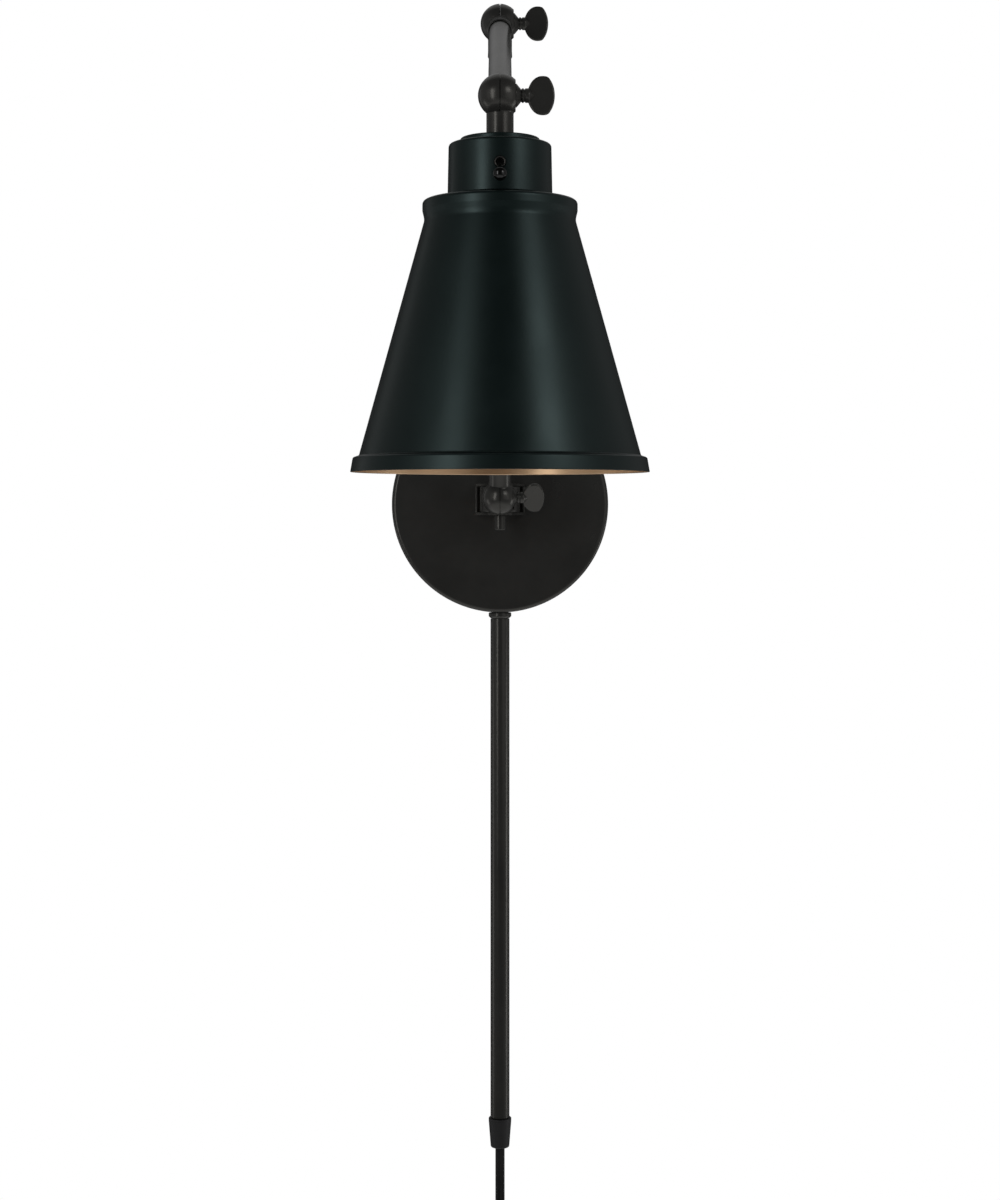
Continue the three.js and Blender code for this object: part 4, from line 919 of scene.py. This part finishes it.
relief_low, relief_high = box_of("cord_bushing")
relief_top = cover_low[2] - 0.3
cord_width, cord_thickness = 5.6, 2.8
cord_room = cord_width / 2 + 0.3
relief_radius = relief_high[0]
relief = made("cord_bushing_rubber", turned(eased(
    [[cord_room, relief_high[2]], [cover_radius - cover_wall - 0.3, relief_high[2]],
     [cover_radius - cover_wall - 0.3, relief_top], [relief_radius, relief_top],
     [relief_radius, relief_top - 1.8], [5.6, relief_low[2]], [cord_room, relief_low[2]]],
    [0.1, 0.4, 0.1, 0.6, 0.8, 1.0, 0.3], closed=True),
    at=cover_at))
coated(relief, black_plastic)
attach(relief, "wall_plate")
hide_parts("cord_bushing")

# ---------------------------------------------------------------- lead
# Flat two-core lead, 1.8 m. It runs down inside the tube, out of the bushing, into a hank of five loops
# held by a band, and from the outermost run into its plug.

hank_y = cover_axis_y - 16.8
hank_top, hank_run = -449.0, 100.0
hank_bottom = hank_top - hank_run
hank_pinch = 13.2
row_pitch = 6.1
layer = 3.08


def run(x, radius, side, going_up):
    """A straight run of the hank on the wall side (side 1) or the front (-1), drawn in towards the band:
    distance from the middle = radius - pinch (1 + cos(2 pi (z - middle) / length)) / 2."""
    z = np.linspace(hank_bottom, hank_top, 41)[1:-1]
    z = z if going_up else z[::-1]
    middle = (hank_top + hank_bottom) / 2
    drawn = hank_pinch * (1 + np.cos(2 * math.pi * (z - middle) / hank_run)) / 2
    return np.stack([np.full_like(z, x), hank_y + side * (radius - drawn), z], -1)


def smooth(t):
    """Goes from 0 to 1 as t does, level at both ends."""
    t = np.clip(t, 0, 1)
    return t * t * (3 - 2 * t)


def fold_under(x, radius):
    """Half a turn under the lower end, from the wall side to the front."""
    a = np.linspace(0, math.pi, 31)
    return np.stack([np.full_like(a, x), hank_y + radius * np.cos(a), hank_bottom - radius * np.sin(a)], -1)


def fold_over(x, radius, next_x, next_radius):
    """Half a turn over the upper end, from the front to the wall side. The lead moves over to the next row
    in the first two thirds, and out to the next layer early where the row is full, else late."""
    a = np.linspace(0, math.pi, 31)
    part = a / math.pi
    sideways = x + (next_x - x) * smooth(part / 0.65)
    grown = smooth(part / 0.2) if next_radius > 21 else smooth((part - 0.68) / 0.32)
    r = radius + (next_radius - radius) * grown
    return np.stack([sideways, hank_y - r * np.cos(a), hank_top + r * np.sin(a)], -1)


inner_radius, outer_radius, last_radius = 16.8, 16.8 + layer, 16.8 + 2 * layer
loops = [(0, inner_radius), (row_pitch, inner_radius), (2 * row_pitch, inner_radius),
         (2 * row_pitch, outer_radius), (row_pitch, outer_radius), (row_pitch, last_radius)]
lead_exit = relief_low[2] - 0.2
z = np.arange(lead_exit, hank_top, -4.0)
stretches = [np.stack([np.zeros_like(z), np.full_like(z, cover_axis_y), z], -1)]
for (x, r), (next_x, next_r) in zip(loops[:-1], loops[1:]):
    stretches += [run(x, r, 1, False), fold_under(x, r), run(x, r, -1, True), fold_over(x, r, next_x, next_r)]
stretches.append(run(row_pitch, last_radius, 1, False))
tail_y = hank_y + last_radius
plug_low, plug_high = box_of("plug_body")
plug_at = (plug_low + plug_high) / 2
stretches.append(np.array([[row_pitch, tail_y, hank_bottom], [row_pitch, tail_y - 0.05, -556],
                           [row_pitch, tail_y - 0.35, -563], [row_pitch, tail_y - 1.3, -571],
                           [row_pitch, (tail_y + plug_at[1]) / 2 - 1.0, -580],
                           [row_pitch, plug_at[1] + 0.2, -589], [row_pitch, plug_at[1], plug_high[2] + 0.4]]))
route = np.concatenate(stretches)
keep = np.concatenate([[True], np.linalg.norm(np.diff(route, axis=0), axis=1) > 0.3])
route = route[keep]


def resampled(line, step):
    """Points a step apart along a smooth curve through the given ones: between two neighbours a cubic
    whose ends have half the way between their own neighbours as slope."""
    slope = np.empty_like(line)
    slope[1:-1] = (line[2:] - line[:-2]) / 2
    slope[0], slope[-1] = line[1] - line[0], line[-1] - line[-2]
    t = np.linspace(0, 1, 8, endpoint=False)[None, :, None]
    p, q, m, k = line[:-1, None], line[1:, None], slope[:-1, None], slope[1:, None]
    fine = ((2 * t ** 3 - 3 * t ** 2 + 1) * p + (t ** 3 - 2 * t ** 2 + t) * m
            + (3 * t ** 2 - 2 * t ** 3) * q + (t ** 3 - t ** 2) * k).reshape(-1, 3)
    fine = np.concatenate([fine, line[-1:]])
    way = np.concatenate([[0], np.cumsum(np.linalg.norm(np.diff(fine, axis=0), axis=1))])
    at = np.linspace(0, way[-1], int(way[-1] / step) + 1)
    return np.stack([np.interp(at, way, fine[:, k]) for k in range(3)], -1), way[-1]


def cord_section(points=9):
    """Outline of the flat lead: two round cores side by side with a shallow groove between them, as
    [across, through] points."""
    r = cord_thickness / 2
    a = np.radians(np.linspace(-122, 122, points))
    right = np.stack([r + r * np.cos(a), r * np.sin(a)], -1)
    groove = np.array([[0, 0.68 * r]])
    return np.concatenate([right, groove, -right, -groove])


def laid(name, line, section):
    """A section carried along a line, its width kept along X: the thin direction is the cross product of
    the line's direction and X, and each end closes on its middle."""
    along = np.gradient(line, axis=0)
    along /= np.linalg.norm(along, axis=1)[:, None]
    across = np.array([1.0, 0, 0]) - along * along[:, :1]
    across /= np.linalg.norm(across, axis=1)[:, None]
    through = np.cross(along, across)
    u, v = section.T
    grid = line[:, None] + u[None, :, None] * across[:, None] + v[None, :, None] * through[:, None]
    ends = [np.repeat(p[None, None], len(section), 1) for p in (line[0], line[-1])]
    return made(name, np.concatenate([ends[0], grid, ends[1]]))


cord_jacket = finish("extruded_lead_jacket", (0.0085, 0.0085, 0.0085), (0.0125, 0.0122, 0.012), (0.36, 0.46),
                     scales=(300, 1800, 0.6), relief=0.25)
inside_low, inside_high = box_of("cord_in_cover")
hidden = np.array([[0, cover_axis_y, inside_low[2]], [0, cover_axis_y, inside_high[2]]])
inside_lead = coated(laid("lead_in_tube", hidden, cord_section()), cord_jacket)
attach(inside_lead, "wall_plate")
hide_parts("cord_in_cover")

line, lead_length = resampled(route, 1.6)
lead = coated(laid("flat_two_core_lead", line, cord_section()), cord_jacket, crease=60)
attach(lead, "wall_plate")
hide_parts("cord_lead", "cord_hank", "cord_tail")

# ---------------------------------------------------------------- band and plug
# A flat rubber band keeps the hank together. The plug is moulded on the lead's end, with finger ridges on
# both faces and two flat brass blades.

tie_low, tie_high = box_of("hank_tie")
tie_wall = 1.2
corners = [[tie_low[0], tie_low[1]], [tie_high[0], tie_low[1]], [tie_high[0], tie_high[1]],
           [tie_low[0], tie_high[1]]]
loop = eased(corners, 3.0, closed=True, steps=10)[:-1]
inwards = np.sign(np.mean(corners, 0) - np.array(corners))
mids = eased(np.array(corners) + inwards * tie_wall, 1.8, closed=True, steps=10)[:-1]
edge = eased([[0, tie_low[2]], [0, tie_high[2]], [1, tie_high[2]], [1, tie_low[2]]], 0, closed=True, steps=1)
tie_grid = np.stack([np.concatenate([loop + (mids - loop) * u, np.full((len(loop), 1), h)], 1)
                     for u, h in edge])
tie = round_edges(made("hank_band", tie_grid), 0.3)
coated(tie, black_plastic)
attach(tie, "wall_plate")
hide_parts("hank_tie")


def plug_skin():
    """The plug's moulded skin. At each level the section is a superellipse of power 4, whose half width
    and half thickness swell from the lead to the grip; ridges add a small wave to the thickness."""
    s = np.linspace(0, 1, 90)
    z = plug_high[2] - (plug_high[2] - plug_low[2]) * s
    half_x, half_y = (plug_high[:2] - plug_low[:2]) / 2
    swell = smooth(s / 0.34)
    wide = 4.6 + (half_x - 4.6) * swell
    thick = 3.2 + (half_y - 3.2) * smooth(s / 0.42)
    grip = np.clip(1 - np.abs(s - 0.62) / 0.2, 0, 1)
    thick = thick - 0.5 * smooth(2 * grip) * (1 + np.cos(2 * math.pi * (s - 0.62) / 0.08)) / 2
    edge = 0.8
    nearness = np.clip(1 - (1 - s) * (plug_high[2] - plug_low[2]) / edge, 0, 1)
    shrink = 1 - np.sqrt(np.clip(1 - nearness ** 2, 0, 1))
    wide, thick = wide - edge * shrink, thick - edge * shrink
    a = np.linspace(0, 2 * math.pi, 96, endpoint=False)
    c, q = np.cos(a), np.sin(a)
    u = np.sign(c) * np.abs(c) ** 0.5
    v = np.sign(q) * np.abs(q) ** 0.5
    grid = np.stack([wide[:, None] * u + plug_at[0], thick[:, None] * v + plug_at[1],
                     np.repeat(z[:, None], len(a), 1)], -1)
    caps = [np.broadcast_to([plug_at[0], plug_at[1], h], (1, len(a), 3)) for h in (z[0], z[-1])]
    return np.concatenate([caps[0], grid, caps[1]])


plug = made("plug_moulding", plug_skin())
for node in ("plug_blade_left", "plug_blade_right"):
    blade_low, blade_high = box_of(node)
    x = (blade_low[0] + blade_high[0]) / 2
    half_y = (blade_high[1] - blade_low[1]) / 2 + 0.3
    gap = (blade_high[0] - blade_low[0]) / 2 + 0.3
    slot = np.array([[x - gap, -half_y], [x + gap, -half_y], [x + gap, half_y], [x - gap, half_y]])
    worked(plug, slab("slot", slot + [0, plug_at[1]], plug_low[2] - 1, plug_low[2] + 8))
coated(plug, black_plastic)
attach(plug, "wall_plate")
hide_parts("plug_body")

for node in ("plug_blade_left", "plug_blade_right"):
    blade = coated(softened(node + "_brass", node, 0.3, 3), brass)
    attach(blade, "wall_plate")
    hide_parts(node)
